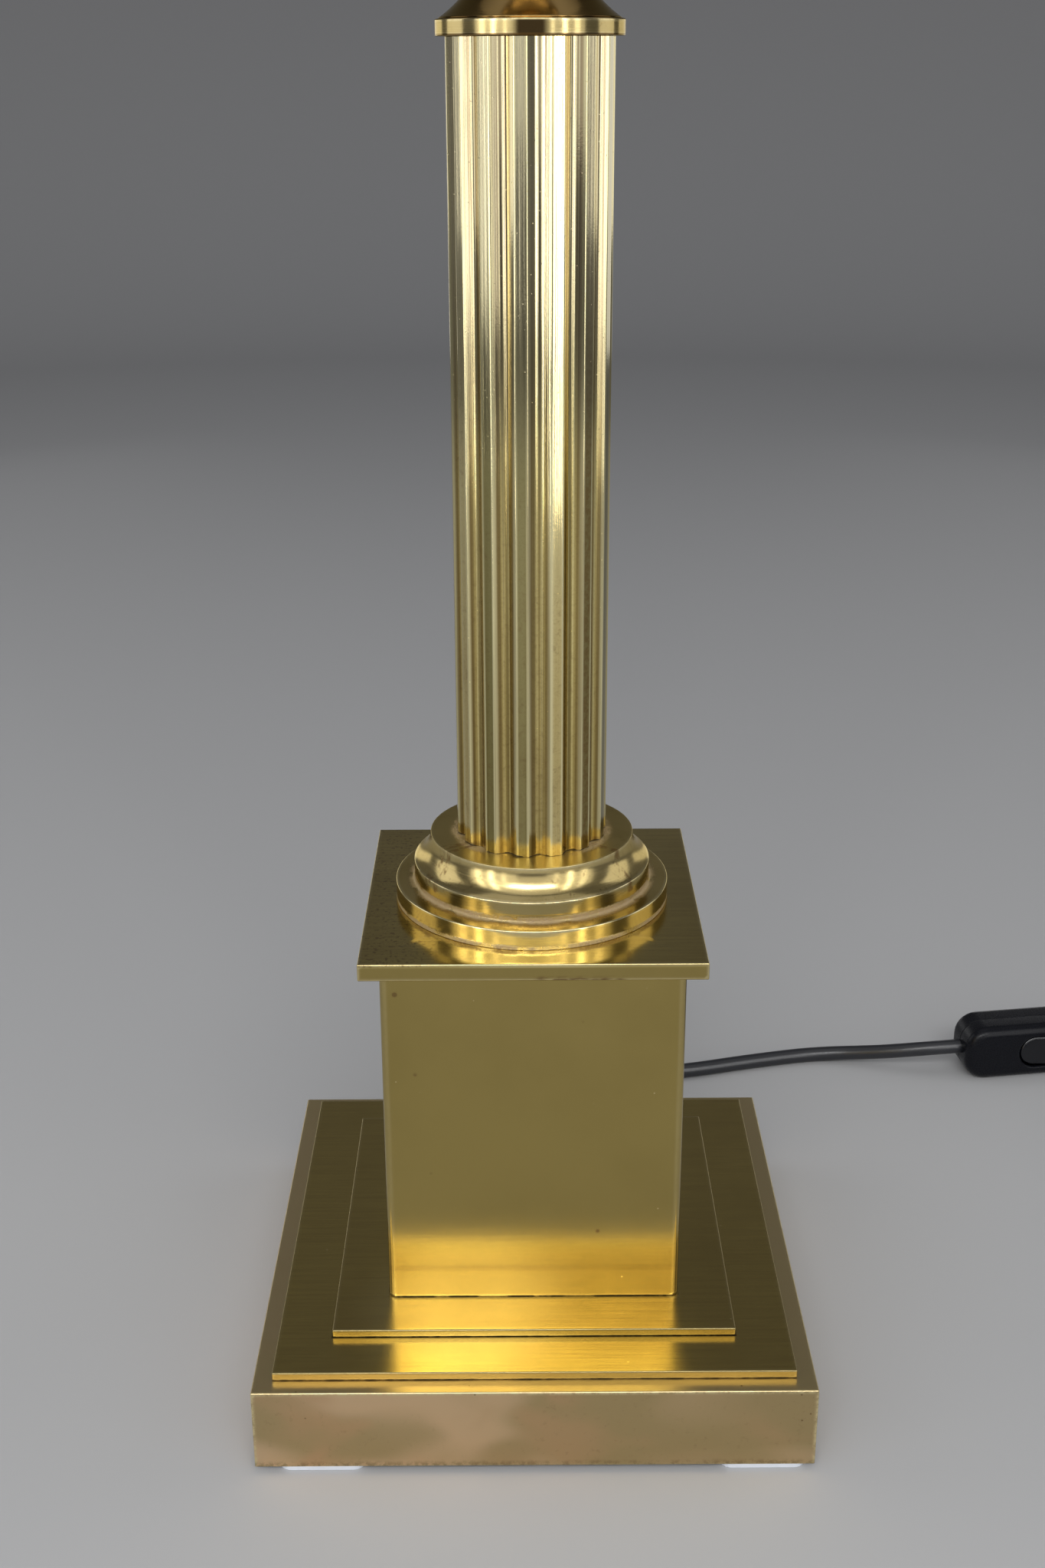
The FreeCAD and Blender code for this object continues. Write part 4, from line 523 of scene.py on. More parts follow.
def brass_pedestal():
    """Flat polished plates: fine brushing, specks, pits and dull seams; painted highlight spots,
    painted shade on the tube and the plates' upright sides, a painted reflection on the tube's
    foot.
    """
    tube_shaded_clear, tube_shaded_dull = (0.425, 0.325, 0.107), (0.375, 0.285, 0.092)
    highlight_gold, edge_shade_tone = (0.88, 0.75, 0.36), (0.25, 0.19, 0.073)
    paint = Paint("pedestal brass")
    x, y, height = paint.x, paint.y, paint.z
    brushed = paint.noise(1.0, 4, 0.65, (40, 40, 1500))
    level = paint.noise(1.0, 3, 0.6, (30, 1200, 1200))
    cloud = paint.noise(14, 4, 0.6)
    mottle = paint.noise(420, 3, 0.7)

    # The plates, with painted highlight spots on the upper step and the cap, then the tube
    paint.colour = paint.mix(cloud.step(0.35, 0.7, 0.1, 0.7), GOLD, OLIVE)
    paint.coat(abs(x).step(0.030, 0.066, 0.0, 0.22), BROWN)
    paint.coat(level.step(0.35, 0.7, 0.0, 0.22), BROWN)
    # Painted highlight: soft bright spots on the upper step and the cap
    painted_highlight_spots = most(paint.near((-0.022, -0.057, 0.0369), 0.010, 0.034),
                  paint.near((0.0, -0.050, 0.1640), 0.008, 0.022))
    paint.coat(painted_highlight_spots * 0.62, highlight_gold)
    plates = paint.colour
    # Painted shade: the tube in darker brass than the plates
    paint.colour = paint.mix(cloud.step(0.35, 0.7, 0.0, 1.0), tube_shaded_clear, tube_shaded_dull)
    # Darker towards the tube's foot, and a painted reflection across the foot: a darker band at 48
    # mm
    paint.coat(height.step(0.050, 0.060, 0.27, 0.0), BROWN)
    bar = height.band(0.0478, 0.0487, 0.0012) * brushed.step(0.3, 0.7, 0.5, 1.0)
    paint.coat(bar * 0.26, BROWN)
    on_tube = height.band(0.0372, 0.1626, 0.0004)
    paint.colour = paint.mix(on_tube, plates, paint.colour)

    specks = paint.cells(130).step(0.02, 0.05, 1.0, 0.0) * paint.noise(60, 1).step(0.50, 0.54)
    paint.coat(specks * 0.7, BRIGHT)
    spots = paint.cells(85, (1.1, 0.9, 1.0)).step(0.03, 0.09, 1.0, 0.0)
    paint.coat(spots * paint.noise(45, 1).step(0.6, 0.64) * 0.8, BROWN)
    reach = most(abs(x), abs(y))
    # Painted shade: the upright sides of the steps and the cap darker
    cap_side = reach.band(0.0543, 0.0546, 0.0001) * height.step(0.1570, 0.1580, 0.0, 0.2)
    sides = most(reach.band(0.0836, 0.0840, 0.0001), reach.band(0.0657, 0.0661, 0.0001), cap_side)
    paint.coat(sides * 0.9, edge_shade_tone)
    edge = paint.wear() ** 3.0 * mottle.step(0.30, 0.62, 0.50, 0.65)
    flanks = height.band(0.0385, 0.1570, 0.0008)
    paint.coat(edge * (0.8 - flanks * 0.55) * height.step(0.0368, 0.0374, 0.30, 1.0), BRIGHT)

    seams = most(*(paint.corner(*(size * MM for size in seam)) for seam in SEAMS))
    seams = seams * paint.noise(160, 3, 0.7).step(0.40, 0.58, 0.2, 1.0)
    paint.coat(seams * 0.8, GRIME)
    fringe = paint.noise(1.0, 3, 0.6, (260, 260, 1100)).step(0.38, 0.66)
    stain = (x.band(0.003, 0.026, 0.004) * height.band(0.1575, 0.1590, 0.0013) * fringe
             * y.step(-0.054, -0.050, 1.0, 0.0))
    paint.coat(stain * 0.8, BROWN)
    patina = (height.step(0.1625, 0.1635) * x.step(-0.045, -0.02, 1.0, 0.15)
              * paint.noise(800, 3, 0.6).step(0.55, 0.66, 0.0, 0.7))
    paint.coat(patina, BROWN)
    paint.coat(paint.near((-0.0435, -0.0483, 0.1505), 0.0006, 0.0005) * 0.7, BROWN)

    relief = brushed * on_tube
    rough = (relief.step(0.25, 0.75, 0.15, 0.20) + cloud.step(0.4, 0.75, 0.0, 0.04)
             + height.step(0.0368, 0.0374, 0.075, 0.0) + seams * 0.3)
    paint.emboss(relief, 0.00002, 0.25)
    paint.emboss(paint.noise(7, 1, 0.4) * on_tube, 0.0006, 0.04)
    return paint.finish(rough, Metallic=1.0)


def brass_plinth():
    """The plinth cover: duller, with soft blotches, worn along its top edge, its top face yellower
    as a painted reflection.
    """
    tan, rosy, green, top_reflection_gold = ((0.80, 0.575, 0.345), (0.66, 0.43, 0.235), (0.47, 0.36, 0.175),
                                  (0.66, 0.53, 0.27))
    paint = Paint("plinth brass")
    height = paint.z
    cloud = paint.noise(13, 1.5, 0.5, (1, 1, 2.2), 0.8)
    second = paint.noise(34, 1.5, 0.5, (1, 1, 1.3), 0.4)
    mottle = paint.noise(420, 3, 0.7)
    grain = paint.noise(1500, 2, 0.6)
    cells = paint.cells(210)
    paint.colour = paint.mix(cloud.step(0.42, 0.60, 0.0, 0.85), tan, green)
    paint.coat(second.step(0.48, 0.70, 0.0, 0.8), rosy)
    paint.coat(paint.x.step(-0.05, 0.06, 0.0, 0.5), green)
    paint.coat(mottle.step(0.55, 0.8) * cloud.step(0.4, 0.6) * 0.2, BROWN)
    paint.coat(paint.wear() ** 2.0 * mottle.step(0.36, 0.60, 0.2, 0.9), BRIGHT)
    # Painted reflection: the top face yellower than the sides
    paint.coat(height.step(0.0308, 0.0311, 0.0, 0.75), top_reflection_gold)
    paint.coat(height.step(0.0024, 0.0052, 0.6, 0.0) * mottle.step(0.4, 0.6), BROWN)
    spots = cells.step(0.04, 0.1, 1.0, 0.0) * paint.noise(50, 1).step(0.57, 0.63)
    paint.coat(spots * 0.7, BROWN)
    paint.emboss(paint.noise(11, 2, 0.5), 0.0008, 0.12)
    paint.emboss(grain, 0.00002, 0.2)
    paint.emboss(cells.step(0.02, 0.06), 0.00006, 0.3)
    return paint.finish(cloud.step(0.35, 0.65, 0.285, 0.33) + grain.step(0.3, 0.7, 0.0, 0.04),
                        Metallic=1.0)


def darker(colour, share):
    """A share of a colour's brightness."""
    return tuple(part * share for part in colour)


def brass_satin(name, colour, rough):
    """Brass of the lampholder and small fittings, with turning lines."""
    paint = Paint(name)
    turning = paint.noise(1.0, 3, 0.6, (40, 40, 1800))
    patches = paint.noise(70, 3, 0.6)
    paint.colour = paint.mix(patches.step(0.4, 0.7), colour, darker(colour, 0.72))
    paint.coat(paint.wear() * 0.5, BRIGHT)
    paint.emboss(turning, 0.00004, 0.5)
    return paint.finish(turning.step(0.3, 0.7, rough - 0.04, rough + 0.04), Metallic=1.0)


def grey_metal(name, colour, rough):
    """Plated steel, dull in patches."""
    paint = Paint(name)
    grain = paint.noise(900, 3, 0.6)
    paint.colour = paint.mix(paint.noise(150).step(0.4, 0.7), colour, darker(colour, 0.75))
    paint.emboss(grain, 0.00003, 0.4)
    return paint.finish(grain.step(0.3, 0.7, rough - 0.04, rough + 0.07), Metallic=1.0)


def plain(name, colour, rough, grain_scale, grain_depth, dark=0.75, wear=0.0, **more):
    """Moulded plastic, rubber, paint or glaze with a fine grain."""
    paint = Paint(name)
    grain = paint.noise(grain_scale, 3, 0.6)
    cloud = paint.noise(grain_scale / 14, 3, 0.6)
    paint.colour = paint.mix(cloud.step(0.35, 0.7), colour, darker(colour, dark))
    if wear:
        pale = tuple(min(1, part + wear) for part in colour)
        paint.coat(paint.wear() * grain.step(0.4, 0.65), pale)
    paint.emboss(grain, grain_depth, 0.5)
    return paint.finish(grain.step(0.3, 0.7, rough - 0.05, rough + 0.08), **more)


column_brass = brass_column()
turned_brass = brass_turned()
pedestal_brass = brass_pedestal()
plinth_brass = brass_plinth()
holder_brass = brass_satin("holder brass", (0.62, 0.47, 0.22), 0.225)
fitting_brass = brass_satin("fitting brass", (0.66, 0.51, 0.25), 0.33)
plated_steel = grey_metal("plated steel", (0.52, 0.53, 0.54), 0.34)
pin_metal = grey_metal("pin metal", (0.66, 0.66, 0.65), 0.2)
weight_iron = plain("weight iron", (0.05, 0.05, 0.052), 0.6, 700, 0.0003)
pad_white = plain("pad white", (0.88, 0.92, 1.0), 0.75, 1800, 0.0001, 0.92)
porcelain = plain("porcelain", (0.80, 0.79, 0.75), 0.16, 260, 0.00002, 0.94, Coat_Weight=0.6)
terminal_plastic = plain("terminal plastic", (0.62, 0.61, 0.57), 0.42, 900, 0.00004, 0.92)
wire_cover = plain("wire cover", (0.17, 0.08, 0.045), 0.42, 900, 0.00003)
cord_black = plain("cord black", (0.013, 0.014, 0.019), 0.33, 1500, 0.00003, 0.85,
                   Specular_IOR_Level=0.85)
boot_black = plain("boot black", (0.014, 0.014, 0.016), 0.42, 1500, 0.00004, 0.85, 0.02)
tie_black = plain("tie black", (0.022, 0.022, 0.023), 0.5, 1300, 0.00006)
switch_black = plain("switch black", (0.0055, 0.006, 0.009), 0.28, 1900, 0.00001, 0.9, 0.006,
                     Specular_IOR_Level=0.20)
rocker_black = plain("rocker black", (0.004, 0.0045, 0.007), 0.15, 1700, 0.00001, 0.9, 0.008,
                     Specular_IOR_Level=0.5)
plug_black = plain("plug black", (0.013, 0.013, 0.015), 0.38, 1500, 0.00005, 0.85, 0.02)


# Camera, as fitted to the photo: lens in mm, angles in degrees, place in metres

LENS, SENSOR = 43.3017, 36
YAW, DOWN, ROLL = -0.161, 21.197, -0.21
CAMERA_PLACE = (-0.004571, -0.57594, 0.42583)

camera = bpy.data.objects.new("camera", bpy.data.cameras.new("camera"))
bpy.context.scene.collection.objects.link(camera)
camera.data.lens, camera.data.sensor_width = LENS, SENSOR
camera.data.clip_start, camera.data.clip_end = 0.01, 50
camera.matrix_world = (Matrix.Translation(CAMERA_PLACE)
                       @ Matrix.Rotation(math.radians(YAW), 4, "Z")
                       @ Matrix.Rotation(math.radians(90 - DOWN), 4, "X")
                       @ Matrix.Rotation(math.radians(ROLL), 4, "Z"))
bpy.context.scene.camera = camera


# Cord

CORD_RADIUS = 3.15
TO_SWITCH = [
    (0, 114, 10.1), (0.4, 125.5, 9.7), (4.5, 137.3, 8.3), (12.4, 147, 6.3), (23.5, 153.7, 4.5),
    (37.1, 156.8, 3.5), (53, 157.9, 3.2), (72, 160.6, 3.2), (94, 166.9, 3.2),
    (116, 172.2, 3.2), (128, 174.2, 3.3), (139.5, 173.8, 4.1), (150, 170.9, 5.9),
    (160, 167.4, 8.3), (170.3, 164.6, 10.7), (180.9, 163.15, 12.45), (191.73, 164.67, 12.5),
]
TO_COIL = [
    (259.07, 174.13, 12.5), (269, 175.53, 12.3), (281, 178.2, 8.4), (296, 179.6, 4.6),
    (312, 176, 3.3), (326, 166, 3.15), (334.3, 152, 3.15), (337.1, 137, 3.15),
]
TO_PLUG = [
    (336.8, 110.5, 9.4), (337.1, 98.5, 8.9), (336.2, 87, 8), (331.4, 77.1, 7.3),
    (323.5, 69.5, 6.9), (313.4, 65, 6.85), (302.5, 63.7, 6.85),
]
COIL_CENTRE, COIL_RADIUS = (296, 122), 34.6
TURN_POINTS = 24


def ease(value):
    """Rises smoothly from 0 at 0 to 1 at 1."""
    value = min(max(value, 0), 1)
    return value * value * (3 - 2 * value)


def coil_points():
    """Three turns inwards on the floor, then three outwards on top of them."""
    pitch = 2 * CORD_RADIUS
    outer = COIL_RADIUS + pitch
    points = []
    for number in range(6 * TURN_POINTS + 1):
        turns = number / TURN_POINTS
        whole = min(int(turns), 5)
        part = turns - whole
        if whole < 2:
            radius = outer - pitch * (whole + ease((part - 0.83) / 0.17))
        elif whole < 4:
            radius = outer - 2 * pitch
        else:
            radius = outer - pitch * (6 - whole - ease((part - 0.055) / 0.17))
        height = CORD_RADIUS + pitch * ease((turns - 2.8) / 0.2)
        angle = -2 * math.pi * turns
        points.append((COIL_CENTRE[0] + radius * math.cos(angle),
                       COIL_CENTRE[1] + radius * math.sin(angle), height))
    return points


def cord_curve(name, points):
    curve = bpy.data.curves.new(name, "CURVE")
    curve.dimensions = "3D"
    curve.bevel_depth = CORD_RADIUS * MM
    curve.bevel_resolution = 7
    curve.resolution_u = 10
    curve.use_fill_caps = True
    spline = curve.splines.new("NURBS")
    spline.points.add(len(points) - 1)
    for spot, (x, y, z) in zip(spline.points, points):
        spot.co = (x * MM, y * MM, z * MM, 1)
    # Both only take hold once the points are there
    spline.use_endpoint_u = True
    spline.order_u = 3
    thing = link(name, curve, cord_black)
    return thing


near_cord = cord_curve("cord_to_switch", TO_SWITCH)
far_cord = cord_curve("cord_to_plug", TO_COIL + coil_points() + TO_PLUG)
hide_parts("cord_run")
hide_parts("cord_feed", "cord_coil", "cord_tail")
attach(near_cord, "lamp")
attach(far_cord, "lamp")


# Plinth, steps, pedestal and cap

def top_edge(high, edge, steps):
    """The round at a plate's upper outer edge."""
    return [(edge - edge * cos, high - edge + edge * sin, 1.0, True) for cos, sin in quarter(steps)]


def plate_line(low, high):
    """The section of a plate with a hole: rounded at its outer edges."""
    edge = 0.4
    gap = min(SUPPORT, (high - low - 2 * edge) / 3)
    line = [(None, low, 0, False), (SUPPORT + edge, low, 0, False)]
    line += [(edge - edge * sin, low + edge - edge * cos, 1.0, True) for cos, sin in quarter(3)]
    line += [(0, low + edge + gap, 0, True), (0, high - edge - gap, 0, True)]
    line += top_edge(high, edge, 3)
    return line + [(SUPPORT + edge, high, 0, False), (None, high, 0, False)]


def plinth_section():
    """The plinth cover's wall, its worn upper edge and its top with the bore."""
    low, high, edge = PLINTH_FOOT, PLINTH_TOP, 0.5
    line = [(SHEET, low, 0, True), (0.25, low, 1.0, True), (0, low + 0.25, 1.0, True),
            (0, low + 1.4, 0, True), (0, high - edge - SUPPORT, 0, True)]
    line += top_edge(high, edge, 4)
    return line + [(edge + SUPPORT, high, 0, False), (None, high, 0, False),
                   (None, high - SHEET, 0, False), (SHEET, high - SHEET, 0, False)]


def tube_section():
    """The pedestal tube's wall."""
    low, high, edge = UPPER_TOP, TUBE_TOP, 0.15
    return [(SHEET, low, 0, False), (edge, low, 1.0, True), (0, low + edge, 1.0, True),
            (0, low + SUPPORT, 0, True), (0, high - SUPPORT, 0, True),
            (0, high - edge, 1.0, True), (edge, high, 1.0, True), (SHEET, high, 0, False)]


def pads_mesh():
    """Four soft pads under the plinth's corners."""
    half, corner, places_x, places_y = 14, 4, (-68.5, 73.5), (-75, 75)
    line = [(2, 0, 0, False), (0.3, 0, 1, True), (0, 0.3, 1, True), (0, 2.2, 0, True),
            (0.2, PLINTH_FOOT, 0, True), (2, PLINTH_FOOT, 0, False)]
    rows = [square_ring(half - inset, corner - inset, height, edge, side, 6)
            for inset, height, edge, side in line]
    work = bmesh.new()
    for x in places_x:
        for y in places_y:
            pad = placed(rows, Matrix.Identity(4), Vector((x, y, 0)))
            add_rows(work, pad, closed_rows=False, caps=True)
    return finish_mesh(work)


piece("plinth", square_block(PLINTH_HALF, 0.5, plinth_section()), plinth_brass,
      "plinth_cover")
for name, half, low, high, node in (
        ("lower_step", LOWER_HALF, PLINTH_TOP, LOWER_TOP, "lower_step_plate"),
        ("upper_step", UPPER_HALF, LOWER_TOP, UPPER_TOP, "upper_step_plate"),
        ("cap", CAP_HALF, TUBE_TOP, CAP_TOP, "pedestal_cap")):
    piece(name, square_block(half, 0.4, plate_line(low, high)), pedestal_brass,
          node)
piece("pedestal", square_block(TUBE_HALF, 2.0, tube_section(), steps=8), pedestal_brass,
      "pedestal_tube")
piece("pads", pads_mesh(), pad_white, "foot_pads")


# Turned ring, column, capital, bell and collar

def ring_line():
    """The turned ring: a disc, a band up to a lip, a hollow moulding, a rim and a spigot."""
    disc, disc_top, band, lip = 45.1, CAP_TOP + 6.6, 38.9, CAP_TOP + 13.4
    hollow, centre, cove = 10.69, (43.99, RING_TOP), 1.0
    line = filleted([(BORE, CAP_TOP, 0), (disc, CAP_TOP, 0.3), (disc, disc_top, 0.4),
                     (band, disc_top, 0)], closed=False)[:-1]
    line += arc((band + cove, disc_top + cove), cove, 270, 180, 5)
    start = math.degrees(math.atan2(lip - centre[1], band - centre[0]))
    sweep = arc(centre, hollow, start + 360, 180, 22)
    line += filleted([(band, CAP_TOP + 7.8, 0), (band, lip, 0.35), sweep[2]], closed=False)[1:-1]
    line += sweep[2:-2]
    line += filleted([sweep[-3], (centre[0] - hollow, RING_TOP, 0.25), (SPIGOT, RING_TOP, 0)],
                     closed=False)[1:-1]
    return line + [(24.0, RING_TOP, 0.0), (SPIGOT, RING_TOP, 0.0),
                   (SPIGOT, RING_TOP + SPIGOT_LONG, 0.0), (BORE, RING_TOP + SPIGOT_LONG, 0.0)]


def flute_line():
    """Half of one flute's outline: from the middle of a flat to the middle of a flute."""
    radius, depth, flat_half = 24.35, 1.95, 1.6
    edge_radius, flute_radius = 0.7, 2.45
    normal = Vector((math.cos(FLUTE_PITCH / 2), math.sin(FLUTE_PITCH / 2)))
    along = Vector((-normal.y, normal.x)) * flat_half
    edge_centre = normal * (radius - edge_radius) - along
    flute_centre = Vector((radius - depth + flute_radius, 0))
    across = flute_centre - edge_centre
    swing = math.acos((edge_radius + flute_radius) / across.length)
    turn = math.degrees(math.atan2(across.y, across.x) + swing)
    points = [(*(normal * radius), 0.0), (*(normal * radius - along * 0.7), 0.0)]
    points += [(x, y, 1.0) for x, y, _ in arc(edge_centre, edge_radius,
                                              math.degrees(FLUTE_PITCH / 2), turn, 5)]
    # Below 0 in the flute, so that the wear ends close to the edge
    flute = arc(flute_centre, flute_radius, turn + 180, 180, 8)
    points += [(x, y, 0.55 * step / 8 - 1) for step, (x, y, _) in enumerate(flute)]
    return points


def column_mesh():
    """The fluted tube, with the edges at its ends a little broken."""
    bore, break_low, break_high = 20.8, 0.12, 0.15
    half = flute_line()
    whole = half + [(x, -y, edge) for x, y, edge in half[-2:0:-1]]
    outline = []
    for number in range(FLUTES):
        turn = Matrix.Rotation(FIRST_FLAT + (0.5 - number) * FLUTE_PITCH, 2)
        outline += [(*(turn @ Vector((x, y))), edge) for x, y, edge in whole]
    outline.reverse()
    rows = []
    for height, inset in ((RING_TOP, break_low), (RING_TOP + break_low, 0), (RING_TOP + 14, 0),
                          (RING_TOP + 80, 0), (RING_TOP + 160, 0),
                          (COLUMN_TOP - break_high, 0), (COLUMN_TOP, break_high)):
        shrunk = [(x, y, edge, 1 - inset / math.hypot(x, y)) for x, y, edge in outline]
        rows.append([(x * part, y * part, height, edge) for x, y, edge, part in shrunk])
    for height in (COLUMN_TOP, RING_TOP):
        inner = [(x, y, bore / math.hypot(x, y)) for x, y, _ in outline]
        rows.append([(x * part, y * part, height, 0.0) for x, y, part in inner])
    return grid_mesh(rows)


def flange_line():
    """The capital's plain disc, with a spigot in the column."""
    flange, low = 27.1, COLUMN_TOP - SPIGOT_LONG
    return filleted([(BORE, low, 0), (SPIGOT, low, 0), (SPIGOT, COLUMN_TOP, 0),
                     (flange, COLUMN_TOP, 0.35), (flange, FLANGE_TOP, 0.4),
                     (BORE, FLANGE_TOP, 0)])


def bell_line():
    """The bell's wall: two arcs about one centre, closed by a flat top with the bore."""
    centre, outer, wall = (47.0, BELL_TOP), 37.8, 1.2
    rise, inner = BELL_TOP - FLANGE_TOP, outer + wall
    line = arc(centre, outer, 180 + math.degrees(math.asin(rise / outer)), 180, 36)
    line += [(BORE, BELL_TOP, 0.0), (BORE, BELL_TOP - wall, 0.0)]
    return line + arc(centre, inner, 180 + math.degrees(math.asin(wall / inner)),
                      180 + math.degrees(math.asin(rise / inner)), 24)


def collar_line():
    """A small bead with a hollow for the lock nut."""
    inner, foot, widest, top, middle = 8.2, 9.2, 11.5, 8.6, BELL_TOP + 4
    return [(inner, BELL_TOP, 0.0), *bulge((foot, BELL_TOP), (widest, middle), 10),
            *bulge((widest, middle), (top, COLLAR_TOP), 10)[1:], (BORE, COLLAR_TOP, 0.0),
            (BORE, middle + 0.1, 0.0), (inner, middle + 0.1, 0.0)]


piece("ring", lathe(ring_line(), 256), turned_brass, "column_base_ring")
piece("column", column_mesh(), column_brass, "fluted_column")
piece("capital_flange", lathe(flange_line()), turned_brass, "capital")
piece("bell", lathe(bell_line()), turned_brass, "capital_bell")
piece("collar", lathe(collar_line(), 128), turned_brass, "neck_collar")


# Lampholder

def holder_cap_line():
    """The cap: a neck, a dome and a skirt over the shell's foot, hollow inside."""
    neck, skirt, skirt_bore, inner = 8.6, 20.75, 19.65, 16.95
    top, hollow = HOLDER_FOOT + 6.5, HOLDER_FOOT - 10.9
    return [(BORE, COLLAR_TOP, 0.0), (neck - 0.3, COLLAR_TOP, 0.5),
            (neck, COLLAR_TOP + 0.3, 0.5), (neck, HOLDER_FOOT - 12.6, 0.0),
            *bulge((neck, HOLDER_FOOT - 12), (skirt, HOLDER_FOOT), 22),
            (skirt, HOLDER_FOOT + 1.9, 0.0), (skirt, HOLDER_FOOT + 2.5, 1.0),
            (skirt, top - 1, 0.0), (skirt, top - 0.3, 1.0), (skirt - 0.25, top, 1.0),
            (skirt_bore, top, 1.0), (skirt_bore, HOLDER_FOOT, 0.0),
            *bulge((inner, HOLDER_FOOT), (7.1, hollow), 12), (BORE, hollow, 0.0)]


def thread_rows(shape, pitch, low, high, steps, run_out, segments):
    """Rows of a thread: shape turns its wave and its fade at the ends to radius and edge."""
    rows = []
    for step in range(steps + 1):
        height = low + (high - low) * step / steps
        fade = ease(step / run_out) * ease((steps - step) / run_out)
        row = []
        for number in range(segments):
            angle = 2 * math.pi * number / segments
            wave = 0.5 + 0.5 * math.cos(2 * math.pi * height / pitch - angle)
            radius, edge = shape(wave, fade)
            row.append((radius * math.cos(angle), radius * math.sin(angle), height, edge))
        rows.append(row)
    return rows


def shell_mesh():
    """The outer tube with its thread, rolled rim and the lip over the insulator."""
    tube, inner, crest, depth, lip, top = 19.5, 18.7, 19.7, 0.32, 15.1, HOLDER_TOP

    def thread(groove, fade):
        return crest - depth * fade * groove ** 0.8, 1.0 - groove if groove < 0.3 else 0.0

    rows = [circle(inner, HOLDER_FOOT), circle(tube, HOLDER_FOOT), circle(tube, 504),
            circle(tube, 506.2)]
    rows += thread_rows(thread, 2.0, 506.4, top - 1.0, steps=100, run_out=6, segments=128)
    rows += [circle(crest, top - 0.8), circle(19.62, top - 0.3, 1.0), circle(19.3, top, 1.0),
             circle(18.6, top), circle(lip + 0.3, top, 1.0), circle(lip, top - 0.3, 1.0),
             circle(lip, top - 1.0), circle(inner, top - 1.0)]
    return grid_mesh(rows)


def sleeve_mesh():
    """The screw sleeve, rolled to a round thread."""
    bore, depth, sheet, low, high = 13.26, 0.18, 0.14, 499.85, 521.85

    def wall_rows(radius):
        return thread_rows(lambda wave, fade: (radius + depth * fade * wave, 0.0), 3.6, low, high,
                           steps=88, run_out=8, segments=112)

    return grid_mesh(wall_rows(bore) + wall_rows(bore + sheet)[::-1])


def grip_ribs(radius, height, angle):
    """The shade ring's radius, with ribs on its upper band."""
    if radius < 21.5 or height < 502.0:
        return radius
    return radius - 0.5 * abs(math.sin(18 * angle)) ** 1.6


def shade_ring_line():
    """The shade ring: a wide foot and a narrower band."""
    bore, foot, band, low, high = 19.77, 23.57, 22.17, 499.0, 506.0
    return filleted([(bore, low, 0.15), (foot, low, 0.3), (foot, low + 1.4, 0.3),
                     (band, low + 2.8, 0.3), (band, high, 0.4), (bore, high, 0.25)], support=0.3)


piece("holder_cap", lathe(holder_cap_line(), 160), holder_brass,
      "lampholder_cap")
piece("holder_shell", shell_mesh(), holder_brass, "lampholder_shell")
piece("sleeve", sleeve_mesh(), fitting_brass, "screw_shell")
piece("shade_nut", lathe(shade_ring_line(), 432, grip_ribs), holder_brass,
      "shade_ring", body="shade_ring")


# Switch: x runs along its case, y from the front to the back

SWITCH_CENTRE = Vector((225.4, 169.4, 12.5))
SWITCH_ANGLE, ROCKER_ANGLE = 8, -7
SWITCH_TURN = Matrix.Rotation(math.radians(SWITCH_ANGLE), 4, "Z")
CASE_DEPTH, CASE_ROUND, CASE_WALL = 10.5, 4.2, 1.8


def case_ring(inset, depth, edge=0):
    """The case's outline, drawn in by the inset."""
    half_x, half_z, corner = 34 - inset, 12.5 - inset, 9.5 - inset
    return [(x, depth, z, edge) for x, z in rounded_ring(half_x, half_z, corner, 7)]


def oval_ring(half_x, half_z, depth=0, edge=0, count=32):
    """A slot-shaped ring, by default with as many points as the case's outline."""
    row = []
    reach = half_x - half_z
    for number in range(count):
        angle = 2 * math.pi * number / count
        side = reach if math.cos(angle) >= 0 else -reach
        row.append((side + half_z * math.cos(angle), depth, half_z * math.sin(angle), edge))
    return row


def case_half(side):
    """The outside of half a case, from the joint to its face: side -1 in front, 1 behind."""
    rows = [case_ring(CASE_WALL, 0.1 * side), case_ring(0.25, 0.06 * side),
            case_ring(0.04, 0.3 * side, 1)]
    for cos, sin in quarter(9):
        depth = CASE_DEPTH - CASE_ROUND * (1 - sin)
        rows.append(case_ring(CASE_ROUND * (1 - cos), depth * side))
    return rows


def switch_front():
    """The front half: round ends, a rim at the opening and the hollow behind it."""
    face = -CASE_DEPTH
    rows = case_half(-1)
    rows += [oval_ring(half_x, half_z, face + sunk, edge) for half_x, half_z, sunk, edge in (
        (11.6, 8.2, 0, 0), (10.9, 8.05, 0.02, 0), (10.3, 7.85, 0.15, 1), (9.9, 7.6, 0.5, 0),
        (9.8, 7.5, 1.0, 0), (9.8, 7.5, CASE_WALL, 0))]
    rows.append(case_ring(CASE_WALL, face + CASE_WALL))
    return grid_mesh(placed(rows, SWITCH_TURN, SWITCH_CENTRE))


def switch_rear():
    """The rear half: a cup that opens to the front half."""
    rows = [case_ring(CASE_WALL, CASE_DEPTH - CASE_WALL), *case_half(1),
            case_ring(CASE_ROUND + 1, CASE_DEPTH)]
    return grid_mesh(placed(rows, SWITCH_TURN, SWITCH_CENTRE), closed_rows=False, caps=True)


